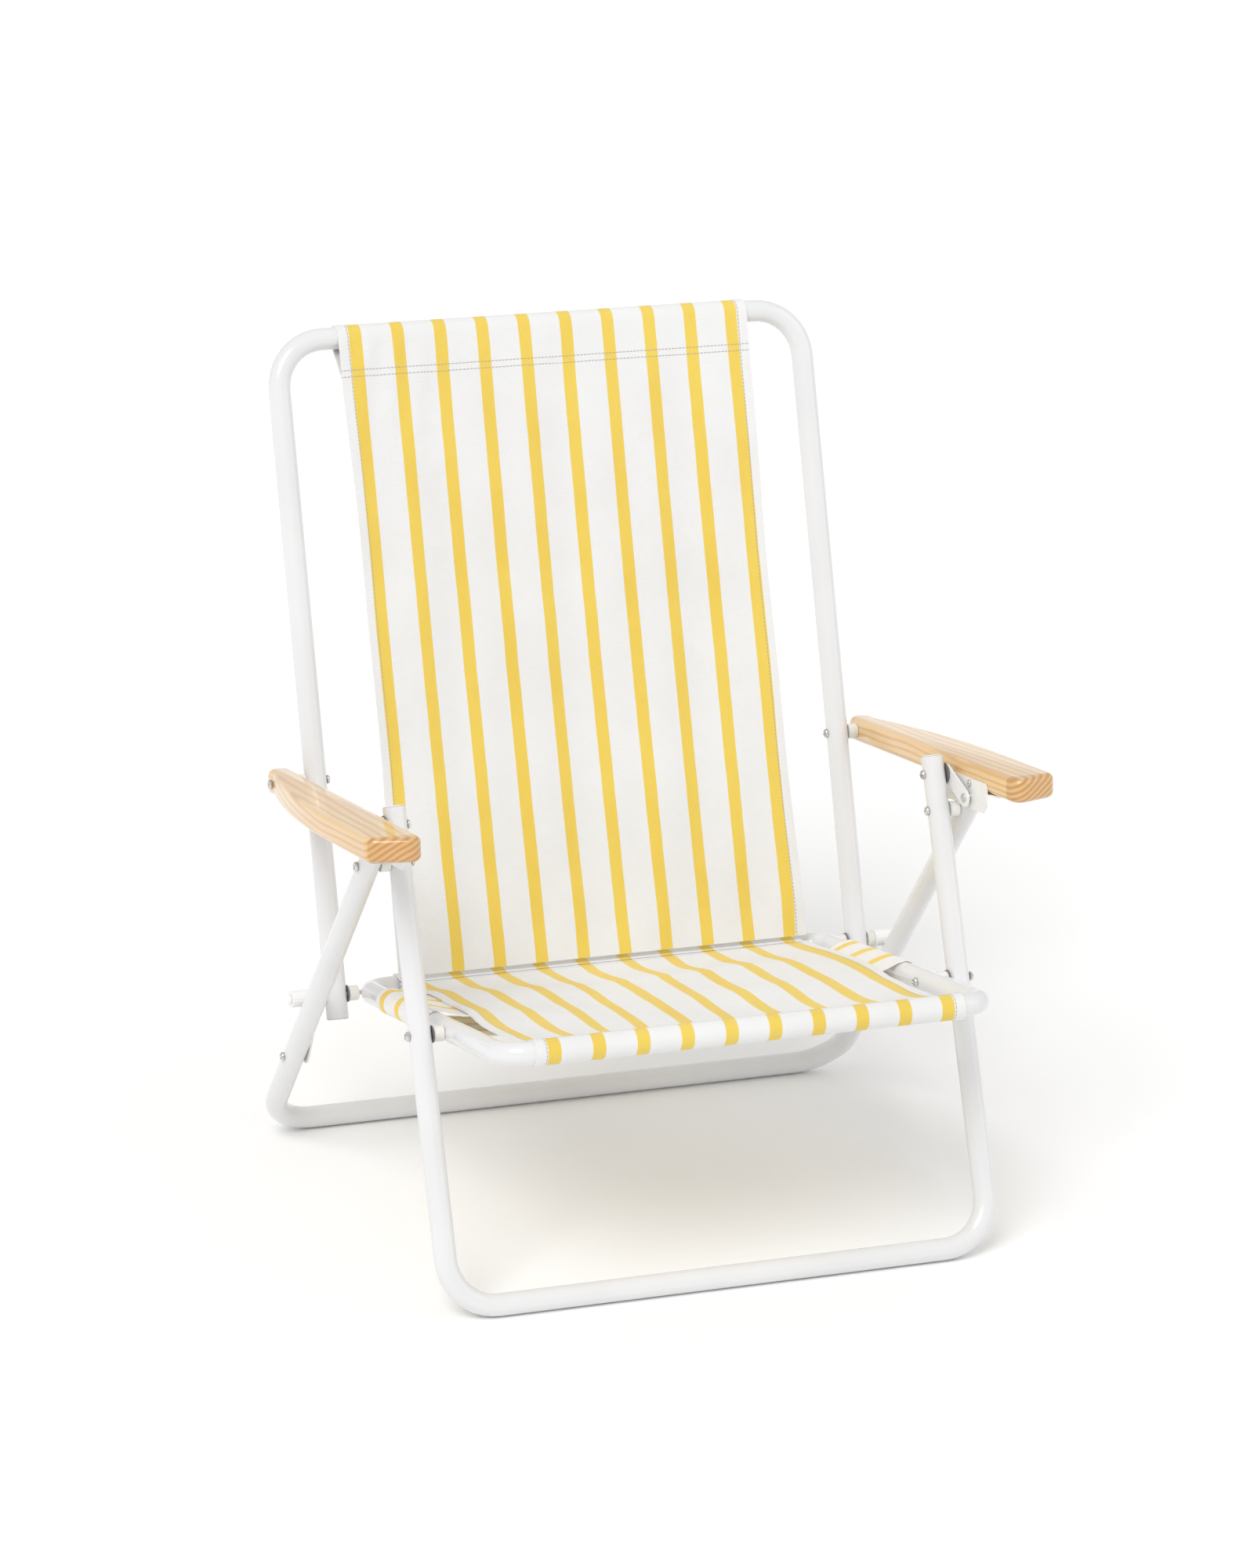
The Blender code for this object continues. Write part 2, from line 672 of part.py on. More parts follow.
for side in (1, -1):

    def part(name, mesh, material, origin, smooth=True):
        add_object(side_name(name, side), mirrored(mesh, side), material, origin, smooth)

    # Armrest
    plan = [Vector((point.x, OUTWARD_SIGN * point.y)) for point in arm_outline()]
    wood = drilled(
        bevelled(extruded([plan], -ARM_THICK / 2, ARM_THICK / 2, ARM_FRAME), ARM_EDGE),
        [
            (ARM_BOLT, HOLE_R, LEG_OUT, WOOD_IN + ARM_WIDTH_FRONT),
            (BRACKET_SCREW, HOLE_R, LEG_OUT, WOOD_IN + SCREW_HOLE_IN_WOOD),
        ],
    )
    part("armrest", wood, WOOD, ARM_BOLT)
    part("armrest_bracket", bracket_mesh(), PAINT, ARM_BOLT, smooth=False)
    screw = bolt(BRACKET_SCREW, FLANGE_IN - GAP, WOOD_IN + SCREW_IN_WOOD, *SMALL_HEAD)
    part("bracket_screw", screw, CHROME, BRACKET_SCREW)

    # Strap from the front leg to the bracket
    strap = slot_plate(RIVET, STRAP_BOLT, STRAP_W, STRAP_IN, STRAP_OUT, HOLE_R, STRAP_HOLE_R)
    part("arm_strap", strap, PAINT, RIVET, smooth=False)
    part("strap_rivet", strap_rivet_mesh(), CHROME, RIVET)
    washer = ring(STRAP_BOLT, HOLE_R, BIG_WASHER_R, LEG_OUT + GAP, LEG_OUT + GAP + WASHER_T)
    part("strap_washer", washer, DARK, STRAP_BOLT)
    nut_size = (STRAP_NUT_R, STRAP_NUT_H)
    part("strap_bolt", riveted_bolt(STRAP_BOLT, LEG_IN - GAP, STRAP_OUT + GAP, *nut_size), CHROME, STRAP_BOLT)

    # Front leg to rear leg, with the spacer that the bracket rests on
    spacer = ring(STOP_BOLT, HOLE_R, SPACER_R, LEG_OUT + GAP, REAR_IN - GAP)
    part("stop_spacer", spacer, NYLON, STOP_BOLT)
    part("stop_bolt", riveted_bolt(STOP_BOLT, LEG_IN - GAP, REAR_OUT + GAP), CHROME, STOP_BOLT)

    # Seat rail to front leg
    pivot_pieces(part, "leg", LEG_PIVOT)
    nut_face = LEG_OUT + GAP
    leg_bolt = bolt(LEG_PIVOT, SEAT_IN - GAP, nut_face + NUT_H + NUT_THREAD_PAST)
    part("leg_bolt", leg_bolt, CHROME, LEG_PIVOT)
    part("leg_nut", lock_nut(LEG_PIVOT, nut_face), CHROME, LEG_PIVOT)

    # Back hinge: spacer, washer, collar, and the stub that stands in front of the rear leg
    pivot_pieces(part, "hinge", HINGE)
    collar = ring(HINGE, HOLE_R, SPACER_R, LEG_OUT + GAP, FLANGE_IN - GAP)
    part("hinge_collar", collar, NYLON, HINGE)
    part("hinge_stub", ring(HINGE, HOLE_R, STUB_R, FLANGE_OUT + GAP, STUB_END), PAINT, HINGE)
    bolt_tip = SEAT_IN - HINGE_BOLT_PAST_RAIL
    part("hinge_bolt", bolt(HINGE, STUB_END + GAP, bolt_tip), CHROME, HINGE)

    # Link from the hinge to the rear leg
    link = slot_plate(HINGE, LINK_BOLT, LINK_W, FLANGE_IN, FLANGE_OUT, HOLE_R, HOLE_R)
    part("leg_link", link, PAINT, HINGE, smooth=False)
    part("link_bolt", bolt(LINK_BOLT, REAR_OUT + GAP, REAR_IN + STUD_ENTRY), CHROME, LINK_BOLT)
    part("link_stud", bolt(LINK_BOLT, FLANGE_IN - GAP, FLANGE_OUT, *STUD_HEAD), CHROME, LINK_BOLT)

    # Armrest pivot
    part("arm_spacer", ring(ARM_BOLT, HOLE_R, SPACER_R, LEG_OUT + GAP, WOOD_IN - GAP), NYLON, ARM_BOLT)
    part("arm_bolt", riveted_bolt(ARM_BOLT, LEG_IN - GAP, WOOD_OUT_AT_BOLT + GAP), CHROME, ARM_BOLT)


def end_plug(name, end, direction, half_width, origin):
    """A shallow plastic plug in a tube's open end, one each side."""
    inside = TUBE_R - TUBE_WALL - GAP
    profile = [
        (-PLUG_DEPTH, 0.0),
        (-PLUG_DEPTH, inside),
        (GAP, inside),
        (GAP, TUBE_R - PLUG_RIM),
        (PLUG_DOME - PLUG_RIM, TUBE_R - 3 * PLUG_RIM),
        (PLUG_DOME, 0.0),
    ]
    axis = Vector((0.0, direction[0], direction[1]))
    turn = Vector((1.0, 0.0, 0.0)).rotation_difference(axis).to_matrix().to_4x4()
    for side in (1, -1):
        mesh = turned(profile, (0.0, 0.0))
        place = Matrix.Translation((side * half_width, end[0], end[1]))
        mesh.transform(place @ turn)
        add_object(side_name(name, side), mesh, NYLON, origin)


end_plug("front_leg_plug", LEG_TOP, FRONT_LEG_UP, FRONT_LEG_X, LEG_PIVOT)
end_plug("rear_leg_plug", REAR_LEG_TOP, REAR_LEG_UP, REAR_LEG_X, STOP_BOLT)
end_plug("back_plug", BACK_END, -BACK_UP, BACK_X, HINGE)


# Canvas
WRAP_R = TUBE_R + CLOTH_GAP
SLEEVE_R = WRAP_R + CLOTH
SLING_HALF = SEAT_X - SLING_FROM_RAIL
CREASE = CROSSBAR + Vector((-CREASE_FORWARD, CREASE_UP))
SEAT_UP = Vector((-SEAT_BACKWARD.y, SEAT_BACKWARD.x))
HINGE_TO_BAR = PIVOT_TO_HINGE + PIVOT_TO_FRONT_BAR


def cloth(name, mesh, origin):
    add_object(name, mesh, CANVAS, origin)


def sleeve_and_panel(centre, panel_end, sign):
    """Outline of a sleeve round a bar that leaves it as a flat panel, and the outline of the bar's hole."""
    start = tangent_point(centre, SLEEVE_R, panel_end, sign)
    start_angle = math.atan2(*(start - Vector(centre)).yx)
    way = (Vector(panel_end) - start).normalized()
    inward = Vector(centre) - start
    inward = (inward - way * inward.dot(way)).normalized()
    sweep = 2 * math.pi - SLEEVE_SEAM
    arc = circle(centre, SLEEVE_R, SLEEVE_SIDES, start_angle, sign * sweep, closed=False)
    inner_start = start + inward * CLOTH + way * SLEEVE_R
    outline = [*arc, inner_start, Vector(panel_end) + inward * CLOTH, Vector(panel_end)]
    return [outline, circle(centre, WRAP_R, SLEEVE_SIDES)]


def strip(start, end, thickness):
    """Outline of a straight strip of cloth whose upper side runs from start to end."""
    way = (end - start).normalized()
    under = Vector((way.y, -way.x)) * thickness
    return [start, end, end + under, start + under]


def on_seat(forward, above):
    """Side-view point a distance forward of the hinge along the rails, and above their centre line."""
    return HINGE - SEAT_BACKWARD * forward + SEAT_UP * above


def seat_sling_mesh():
    """The seat panel over the band, its sleeve round the front bar, and its pocket round the crossbar."""
    flat = SLEEVE_R
    raised = SLEEVE_R + BAND_LIFT
    ramp = BAND_RAMP * (BAND_FRONT - BAND_REAR)
    top = [
        CREASE,
        on_seat(BAND_REAR, raised),
        on_seat(BAND_FRONT, raised),
        on_seat(BAND_FRONT + ramp, (flat + raised) / 2),
        on_seat(HINGE_TO_BAR - ramp, flat),
    ]
    first = math.atan2(SEAT_UP.y, SEAT_UP.x)
    outer = circle(SEAT_BAR, SLEEVE_R, SLEEVE_SIDES, first, FRONT_SLEEVE_SWEEP, closed=False)
    inner = circle(SEAT_BAR, WRAP_R, SLEEVE_SIDES, first, FRONT_SLEEVE_SWEEP, closed=False)
    bottom = [point - SEAT_UP * CLOTH for point in top]
    panel = extruded([top + outer + inner[::-1] + bottom[::-1]], -SLING_HALF, SLING_HALF)
    pocket_half = SLING_HALF - POCKET_INSET
    pocket_end = CREASE - SEAT_BACKWARD * CLOTH - SEAT_UP * (CLOTH / 2)
    pocket = extruded(sleeve_and_panel(CROSSBAR, pocket_end, 1.0), -pocket_half, pocket_half)
    return joined(panel, pocket)


BACK_WAY = (TOP_BAR - CREASE).normalized()
back_low = along(CREASE, BACK_WAY, BACK_ABOVE_CREASE)
back_split = along(CREASE, BACK_WAY, BACK_SPLIT)
back_panel = extruded(sleeve_and_panel(TOP_BAR, back_split, -1.0), -SLING_HALF, SLING_HALF)
cloth("back_sling", back_panel, TOP_BAR)
panel_way = (back_split - tangent_point(TOP_BAR, SLEEVE_R, back_split, -1.0)).normalized()
lower_top = along(back_split, panel_way, SPLIT_GAP)
lower_strip = extruded([strip(back_low, lower_top, CLOTH)], -SLING_HALF, SLING_HALF)
cloth("back_sling_lower", lower_strip, HINGE)
cloth("seat_sling", seat_sling_mesh(), HINGE)


def band_mesh():
    """Band of cloth wrapped round both side rails: a flat tube across the chair."""

    def loop(radius):
        points = []
        for side in (1, -1):
            centre = Vector((side * SEAT_X, 0.0))
            points += circle(centre, radius, BAND_SIDES, -side * math.pi / 2, math.pi, closed=False)
        return points

    right = Vector((1.0, 0.0, 0.0))
    up = Vector((0.0, *SEAT_UP))
    along_rail = right.cross(up)
    frame = Matrix.Identity(4)
    for column, axis in enumerate((right, up, along_rail)):
        frame.col[column][:3] = axis
    frame.translation = Vector((0.0, *HINGE))
    forward = math.copysign(1.0, -along_rail.y)
    ends = sorted((forward * BAND_REAR, forward * BAND_FRONT))
    return extruded([loop(SLEEVE_R), loop(WRAP_R)], ends[0], ends[1], frame)


cloth("support_band", band_mesh(), HINGE)
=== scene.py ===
import json
import math

import bpy
from mathutils import Matrix, Vector


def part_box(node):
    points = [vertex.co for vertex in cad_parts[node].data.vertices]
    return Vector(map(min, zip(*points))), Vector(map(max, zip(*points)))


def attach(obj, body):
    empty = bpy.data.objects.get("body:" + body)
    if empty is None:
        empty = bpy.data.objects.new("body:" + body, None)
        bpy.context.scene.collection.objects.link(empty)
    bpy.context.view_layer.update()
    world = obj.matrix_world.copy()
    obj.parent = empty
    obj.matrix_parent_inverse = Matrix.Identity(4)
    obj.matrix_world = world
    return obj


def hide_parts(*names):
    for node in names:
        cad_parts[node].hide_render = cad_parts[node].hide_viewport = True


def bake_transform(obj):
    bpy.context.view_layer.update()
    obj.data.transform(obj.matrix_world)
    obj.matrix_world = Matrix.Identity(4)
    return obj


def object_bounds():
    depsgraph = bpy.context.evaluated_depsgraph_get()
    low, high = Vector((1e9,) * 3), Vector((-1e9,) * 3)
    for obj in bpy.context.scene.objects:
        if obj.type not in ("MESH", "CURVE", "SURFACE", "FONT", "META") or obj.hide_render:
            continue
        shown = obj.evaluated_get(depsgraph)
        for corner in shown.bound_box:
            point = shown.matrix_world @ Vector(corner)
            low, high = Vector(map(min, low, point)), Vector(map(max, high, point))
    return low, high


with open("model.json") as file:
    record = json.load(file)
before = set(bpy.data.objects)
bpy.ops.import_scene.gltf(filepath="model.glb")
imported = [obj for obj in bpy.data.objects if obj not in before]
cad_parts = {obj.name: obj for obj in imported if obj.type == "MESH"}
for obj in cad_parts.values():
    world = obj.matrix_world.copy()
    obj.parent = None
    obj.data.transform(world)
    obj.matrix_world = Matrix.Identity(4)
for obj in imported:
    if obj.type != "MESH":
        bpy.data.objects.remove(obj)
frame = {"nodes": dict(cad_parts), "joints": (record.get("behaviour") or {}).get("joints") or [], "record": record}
cad_low, cad_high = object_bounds()
bpy.ops.object.select_all(action="DESELECT")

JOINTS = {joint["name"]: Vector(joint["pos_m"]) for joint in frame["joints"]}
LEG_PIVOT = JOINTS["fold"]
STOP_BOLT = JOINTS["rear_legs_fold"]
HINGE = JOINTS["back_fold"]
ARM_BOLT = JOINTS["armrest_left_fold"]
SIDES = ("left", "right")

# Tube sizes, metres
TUBE_R = 0.011
TUBE_WALL = 0.0012
LEG_BEND = 0.048
SEAT_FRONT_BEND = 0.027
SEAT_REAR_BEND = 0.024

# Cloth sizes: single cloth, cloth doubled at a hem, the hem's width, and the sleeve's own radius on a bar
CLOTH = 0.0010
HEM = 0.0021
HEM_WIDTH = 0.011
SLEEVE_R = TUBE_R + 0.0012
SIDE_STITCH_IN = 0.0100
STRIPE_PITCH = 0.04447
STRIPE_WIDTH = 0.0130
STRIPE_BLUR = 0.0005
STITCH_PITCH = 0.0038


# ---------------------------------------------------------------- materials
class Value:
    """One shader socket that plain arithmetic works on."""

    def __init__(self, finish, socket):
        self.finish = finish
        self.socket = socket

    def _math(self, operation, *values):
        return self.finish.node("ShaderNodeMath", {"operation": operation}, *values)

    def __add__(self, other):
        return self._math("ADD", self, other)

    def __radd__(self, other):
        return self._math("ADD", other, self)

    def __sub__(self, other):
        return self._math("SUBTRACT", self, other)

    def __rsub__(self, other):
        return self._math("SUBTRACT", other, self)

    def __mul__(self, other):
        return self._math("MULTIPLY", self, other)

    def __rmul__(self, other):
        return self._math("MULTIPLY", other, self)

    def __abs__(self):
        return self._math("ABSOLUTE", self)

    def __mod__(self, other):
        return self._math("FLOORED_MODULO", self, other)

    def sine(self):
        return self._math("SINE", self)

    def at_least(self, other):
        return self._math("MAXIMUM", self, other)

    def step(self, low, high):
        """0 below low, 1 above high, smooth between them."""
        settings = {"interpolation_type": "SMOOTHSTEP"}
        return self.finish.node("ShaderNodeMapRange", settings, self, low, high, 0.0, 1.0)


class Finish:
    """A Principled material being built."""

    def __init__(self, name, **constants):
        self.material = bpy.data.materials.new(name)
        self.material.use_nodes = True
        self.tree = self.material.node_tree
        self.shader = self.tree.nodes["Principled BSDF"]
        for socket, value in constants.items():
            self.shader.inputs[socket.replace("_", " ")].default_value = value

    def node(self, kind, settings, *values, output=0):
        made = self.tree.nodes.new(kind)
        for key, value in settings.items():
            setattr(made, key, value)
        for index, value in enumerate(values):
            self.plug(made.inputs[index], value)
        return Value(self, made.outputs[output])

    def plug(self, socket, value):
        if isinstance(value, Value):
            self.tree.links.new(value.socket, socket)
        elif value is not None:
            socket.default_value = value

    def place(self):
        """Object coordinates."""
        return self.node("ShaderNodeTexCoord", {}, output=3)

    def sheet_place(self):
        """The cloth map: metres across and along a sheet."""
        return self.node("ShaderNodeUVMap", {"uv_map": "cloth"})

    def split(self, vector):
        parts = self.node("ShaderNodeSeparateXYZ", {}, vector)
        return [Value(self, part) for part in parts.socket.node.outputs]

    def join(self, x, y, z=0.0):
        return self.node("ShaderNodeCombineXYZ", {}, x, y, z)

    def turned(self, vector, turn=(0, 0, 0), scale=(1, 1, 1)):
        centre = (0, 0, 0)
        return self.node(
            "ShaderNodeMapping", {"vector_type": "TEXTURE"}, vector, centre, turn, scale
        )

    def noise(self, vector, scale, detail=3.0, roughness=0.5):
        settings = {"normalize": True}
        return self.node("ShaderNodeTexNoise", settings, vector, None, scale, detail, roughness)

    def mix(self, share, first, second):
        made = self.tree.nodes.new("ShaderNodeMix")
        made.data_type = "RGBA"
        self.plug(made.inputs["Factor"], share)
        for socket, value in ((made.inputs[6], first), (made.inputs[7], second)):
            self.plug(socket, value if isinstance(value, Value) else (*value, 1.0))
        return Value(self, made.outputs[2])

    def bump(self, height, distance, strength):
        made = self.tree.nodes.new("ShaderNodeBump")
        made.inputs["Distance"].default_value = distance
        made.inputs["Strength"].default_value = strength
        self.plug(made.inputs["Height"], height)
        self.tree.links.new(made.outputs["Normal"], self.shader.inputs["Normal"])

    def paint(self, **sockets):
        for name, value in sockets.items():
            self.plug(self.shader.inputs[name.replace("_", " ")], value)
        return self.material


def darker(colour, share):
    return tuple(channel * share for channel in colour)


def gloss_paint(name, white, roughness, coat):
    finish = Finish(name, Coat_Weight=coat, Coat_Roughness=0.06, Specular_IOR_Level=0.5)
    place = finish.place()
    cloud = finish.noise(place, 9.0, 2.0)
    speck = finish.noise(place, 420.0, 2.0)
    peel = finish.noise(place, 260.0, 1.0)
    finish.bump(peel, 0.00012, 0.35)
    colour = finish.mix(cloud.step(0.35, 0.7), white, darker(white, 0.955))
    colour = finish.mix(speck.step(0.70, 0.78) * 0.5, colour, darker(white, 0.90))
    return finish.paint(Base_Color=colour, Roughness=roughness + 0.10 * cloud)


def moulded_plastic(name, plastic, roughness):
    finish = Finish(name, Specular_IOR_Level=0.45)
    place = finish.place()
    cloud = finish.noise(place, 60.0, 3.0)
    grit = finish.noise(place, 900.0, 2.0)
    finish.bump(grit, 0.0001, 0.4)
    colour = finish.mix(cloud.step(0.3, 0.75), plastic, darker(plastic, 0.86))
    return finish.paint(Base_Color=colour, Roughness=roughness + 0.12 * grit)


def bright_metal(name):
    finish = Finish(name, Metallic=1.0)
    place = finish.place()
    cloud = finish.noise(place, 180.0, 3.0)
    brush = finish.noise(finish.turned(place, scale=(1.0, 0.08, 0.08)), 260.0, 2.0)
    finish.bump(brush, 0.00008, 0.35)
    colour = finish.mix(cloud.step(0.3, 0.8), (0.76, 0.75, 0.73), (0.52, 0.51, 0.50))
    return finish.paint(Base_Color=colour, Roughness=0.16 + 0.16 * brush)


def woven_stripe(place):
    """1 on a stripe, 0 on the white between, from the distance across the stripes."""
    off = abs(place % STRIPE_PITCH - STRIPE_PITCH / 2)
    return 1.0 - off.step(STRIPE_WIDTH / 2 - STRIPE_BLUR, STRIPE_WIDTH / 2 + STRIPE_BLUR)


def weave(across, down, thread):
    """The waves of crossing threads, -1 to 1."""
    return (across * (2 * math.pi / thread)).sine() * (down * (2 * math.pi / thread)).sine()


def stitches(off_line, along):
    """1 on the stitches of a row, from the distance off its line and the distance along it."""
    line = 1.0 - abs(off_line).step(0.0003, 0.0007)
    dash = 1.0 - abs(along % STITCH_PITCH - STITCH_PITCH / 2).step(0.0012, 0.0015)
    return line * dash


WEAVE_SHADE = (0.55, 0.51, 0.43)
STITCH_THREAD = (0.42, 0.41, 0.39)


def woven_canvas(name, cross_rows=(), stitched_sides=False):
    """Cotton canvas, striped from front to back of the chair.

    cross_rows gives how far down the sheet each stitch row runs across it.
    """
    finish = Finish(name, Sheen_Weight=0.25, Sheen_Roughness=0.6, Specular_IOR_Level=0.2)
    place = finish.place()
    x, _, _ = finish.split(place)
    across, down, _ = finish.split(finish.sheet_place())
    wander = finish.noise(finish.join(x * 6.0, down * 22.0), 1.0, 2.0)
    stripe = woven_stripe(x + (wander - 0.5) * 0.0012)
    basket = weave(across, down, 0.00115)
    slub = finish.noise(finish.join(across * 90.0, down * 1400.0), 1.0, 2.0)
    slub_down = finish.noise(finish.join(across * 1400.0, down * 70.0), 1.0, 2.0)
    cloud = finish.noise(place, 7.0, 4.0, 0.6)
    white = finish.mix(cloud.step(0.3, 0.75), (0.880, 0.882, 0.880), (0.835, 0.834, 0.828))
    yellow = finish.mix(cloud.step(0.25, 0.8), (0.900, 0.660, 0.090), (0.840, 0.580, 0.065))
    colour = finish.mix(stripe, white, yellow)
    shade = (basket * 0.5 + 0.5) * 0.10 + slub.step(0.55, 0.75) * 0.10
    colour = finish.mix(shade, colour, WEAVE_SHADE)
    colour = finish.mix(slub_down.step(0.62, 0.8) * 0.18, colour, (0.95, 0.94, 0.92))
    height = basket * 0.5 + slub * 0.8 + slub_down * 0.5
    rows = [stitches(down - row, across) for row in cross_rows]
    if stitched_sides:
        rows.append(stitches(abs(across) - (SLING_HALF - SIDE_STITCH_IN), down))
    if rows:
        sewn = rows[0]
        for row in rows[1:]:
            sewn = sewn.at_least(row)
        colour = finish.mix(sewn * 0.75, colour, STITCH_THREAD)
        height = height + sewn * 1.5
    finish.bump(height, 0.00028, 0.75)
    return finish.paint(Base_Color=colour, Roughness=0.80 + 0.15 * slub)


def band_canvas_painted_glow(name):
    """The support band's canvas: its stripes run along the band, and it glows faintly in its own colour, painted
    light standing in for light from above shining through it.
    """
    # Emission_Strength makes the band glow by itself: painted light in place of light shining through the cloth.
    finish = Finish(
        name, Emission_Strength=0.10, Sheen_Weight=0.2, Sheen_Roughness=0.6, Specular_IOR_Level=0.2
    )
    across, down, _ = finish.split(finish.sheet_place())
    cloud = finish.noise(finish.place(), 8.0, 4.0, 0.6)
    basket = weave(across, down, 0.0012)
    slub = finish.noise(finish.join(across * 80.0, down * 1300.0), 1.0, 2.0)
    white = finish.mix(cloud.step(0.3, 0.75), (0.87, 0.865, 0.85), (0.82, 0.81, 0.79))
    colour = finish.mix(woven_stripe(down + 0.0057), white, (0.88, 0.62, 0.09))
    shade = (basket * 0.5 + 0.5) * 0.12 + slub.step(0.55, 0.75) * 0.1
    colour = finish.mix(shade, colour, WEAVE_SHADE)
    finish.bump(basket * 0.5 + slub, 0.00028, 0.7)
    # The band emits its own colour: painted glow.
    return finish.paint(Base_Color=colour, Roughness=0.82 + 0.12 * slub, Emission_Color=colour)


def varnished_pine(name, forward, end_at):
    """Pine with its grain along a direction in side view, and darker end grain beyond end_at along it."""
    finish = Finish(name, Coat_Weight=0.75, Coat_Roughness=0.08, Specular_IOR_Level=0.5)
    slope = math.atan2(forward.z, forward.y)
    gx, gy, gz = finish.split(finish.turned(finish.place(), turn=(slope, 0.0, 0.0)))
    wave = finish.noise(finish.join(gx * 9.0, gy * 2.2, gz * 9.0), 1.0, 3.0)
    ring_pitch = 0.0052
    layers = (gx * 0.55 + gz * 0.85 + wave * 0.020) * (2 * math.pi / ring_pitch)
    rings = layers.sine() * 0.5 + 0.5
    fibre = finish.noise(finish.join(gx * 900.0, gy * 14.0, gz * 900.0), 1.0, 3.0)
    cloud = finish.noise(finish.join(gx * 30.0, gy * 5.0, gz * 30.0), 1.0, 3.0)
    pale = finish.mix(cloud.step(0.3, 0.7), (0.850, 0.600, 0.300), (0.800, 0.520, 0.235))
    colour = finish.mix(rings.step(0.40, 1.0) * 0.60, pale, (0.600, 0.310, 0.095))
    colour = finish.mix(fibre.step(0.55, 0.8) * 0.25, colour, (0.560, 0.310, 0.110))
    if end_at > 0:
        end = gy.step(end_at - 0.004, end_at - 0.001)
    else:
        end = 1.0 - gy.step(end_at + 0.001, end_at + 0.004)
    colour = finish.mix(end * (0.35 + rings * 0.40), colour, (0.500, 0.220, 0.050))
    finish.bump(fibre * 0.6 + rings * 0.4, 0.00018, 0.5)
    return finish.paint(Base_Color=colour, Roughness=0.26 + 0.14 * fibre)


WHITE_TUBE = gloss_paint("white_tube_paint", (0.79, 0.79, 0.795), 0.14, 0.6)
WHITE_PLATE = gloss_paint("white_plate_paint", (0.87, 0.87, 0.86), 0.26, 0.2)
NYLON = moulded_plastic("cream_nylon", (0.84, 0.82, 0.77), 0.36)
PLUG = moulded_plastic("white_plug_plastic", (0.86, 0.86, 0.85), 0.34)
DARK = moulded_plastic("grey_rubber_washer", (0.20, 0.195, 0.19), 0.45)
BRIGHT = bright_metal("bright_plated_steel")

# The first word that is in a node's name gives its finish.
NODE_FINISHES = (
    ("washer", DARK), ("spacer", NYLON), ("collar", NYLON), ("plug", PLUG), ("stub", WHITE_PLATE),
    ("hinge_bolt", WHITE_PLATE), ("bracket_screw", BRIGHT), ("bolt", BRIGHT), ("nut", BRIGHT),
    ("rivet", BRIGHT), ("stud", BRIGHT), ("bracket", WHITE_PLATE), ("strap", WHITE_PLATE),
    ("link", WHITE_PLATE),
)
for name, node in frame["nodes"].items():
    finish = next((material for word, material in NODE_FINISHES if word in name), WHITE_TUBE)
    node.data.materials.clear()
    node.data.materials.append(finish)


# ---------------------------------------------------------------- modelling helpers
def deselect():
    bpy.ops.object.select_all(action="DESELECT")


def settle(obj, name, material, smooth_angle):
    """Gives a finished object its name and material, puts its place in its mesh, and smooths it."""
    deselect()
    bpy.context.view_layer.objects.active = obj
    obj.select_set(True)
    bpy.ops.object.transform_apply(location=True, rotation=True, scale=True)
    bpy.ops.object.shade_smooth_by_angle(angle=math.radians(smooth_angle))
    obj.name = name
    obj.data.name = name
    obj.data.materials.clear()
    obj.data.materials.append(material)
    deselect()
    return obj


def apply_modifier(obj, kind, **settings):
    bpy.context.view_layer.objects.active = obj
    added = obj.modifiers.new(kind.lower(), kind)
    for key, value in settings.items():
        setattr(added, key, value)
    bpy.ops.object.modifier_apply(modifier=added.name)


def bent_tube(name, corners, bends, closed=False, sides=32, steps=10):
    """A round hollow tube: a circle extruded along each straight and spun round each bend."""
    start = (corners[0] + corners[-1]) / 2 if closed else corners[0]
    last = start if closed else corners[-1]
    stops = corners if closed else corners[1:-1]
    way = (stops[0] - start).normalized()
    turn = Vector((0.0, 0.0, 1.0)).rotation_difference(way).to_euler()
    bpy.ops.mesh.primitive_circle_add(vertices=sides, radius=TUBE_R, location=start, rotation=turn)
    tube = bpy.context.object
    bpy.ops.object.transform_apply(location=True, rotation=True, scale=True)
    bpy.ops.object.mode_set(mode="EDIT")
    bpy.ops.mesh.select_all(action="SELECT")
    here = Vector(start)
    for corner, after, bend in zip(stops, [*stops[1:], last], bends):
        to_next = (after - corner).normalized()
        angle = way.angle(to_next)
        back = bend * math.tan(angle / 2)
        bend_start = corner - way * back
        bpy.ops.mesh.extrude_region_move(TRANSFORM_OT_translate={"value": bend_start - here})
        axis = way.cross(to_next).normalized()
        centre = bend_start + axis.cross(way) * bend
        # With no window, spin turns the other way.
        bpy.ops.mesh.spin(steps=steps, angle=angle, center=centre, axis=-axis)
        here = corner + to_next * back
        way = to_next
    bpy.ops.mesh.extrude_region_move(TRANSFORM_OT_translate={"value": last - here})
    bpy.ops.mesh.select_all(action="SELECT")
    bpy.ops.mesh.remove_doubles(threshold=0.00005)
    bpy.ops.mesh.normals_make_consistent(inside=False)
    bpy.ops.object.mode_set(mode="OBJECT")
    if not closed:
        apply_modifier(tube, "SOLIDIFY", thickness=TUBE_WALL, offset=-1.0)
    return settle(tube, name, WHITE_TUBE, 50)


def at(x, point):
    return Vector((x, point.y, point.z))


def leg_end(node, bar, through):
    """Half width and open end of a U frame, from its box, its bar and a pivot on its legs."""
    low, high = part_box(node)
    way = (through - bar).normalized()
    rim = TUBE_R * abs(way.y)
    end_z = high.z - rim if way.z > 0 else low.z + rim
    return high.x - TUBE_R, bar + way * ((end_z - bar.z) / way.z)


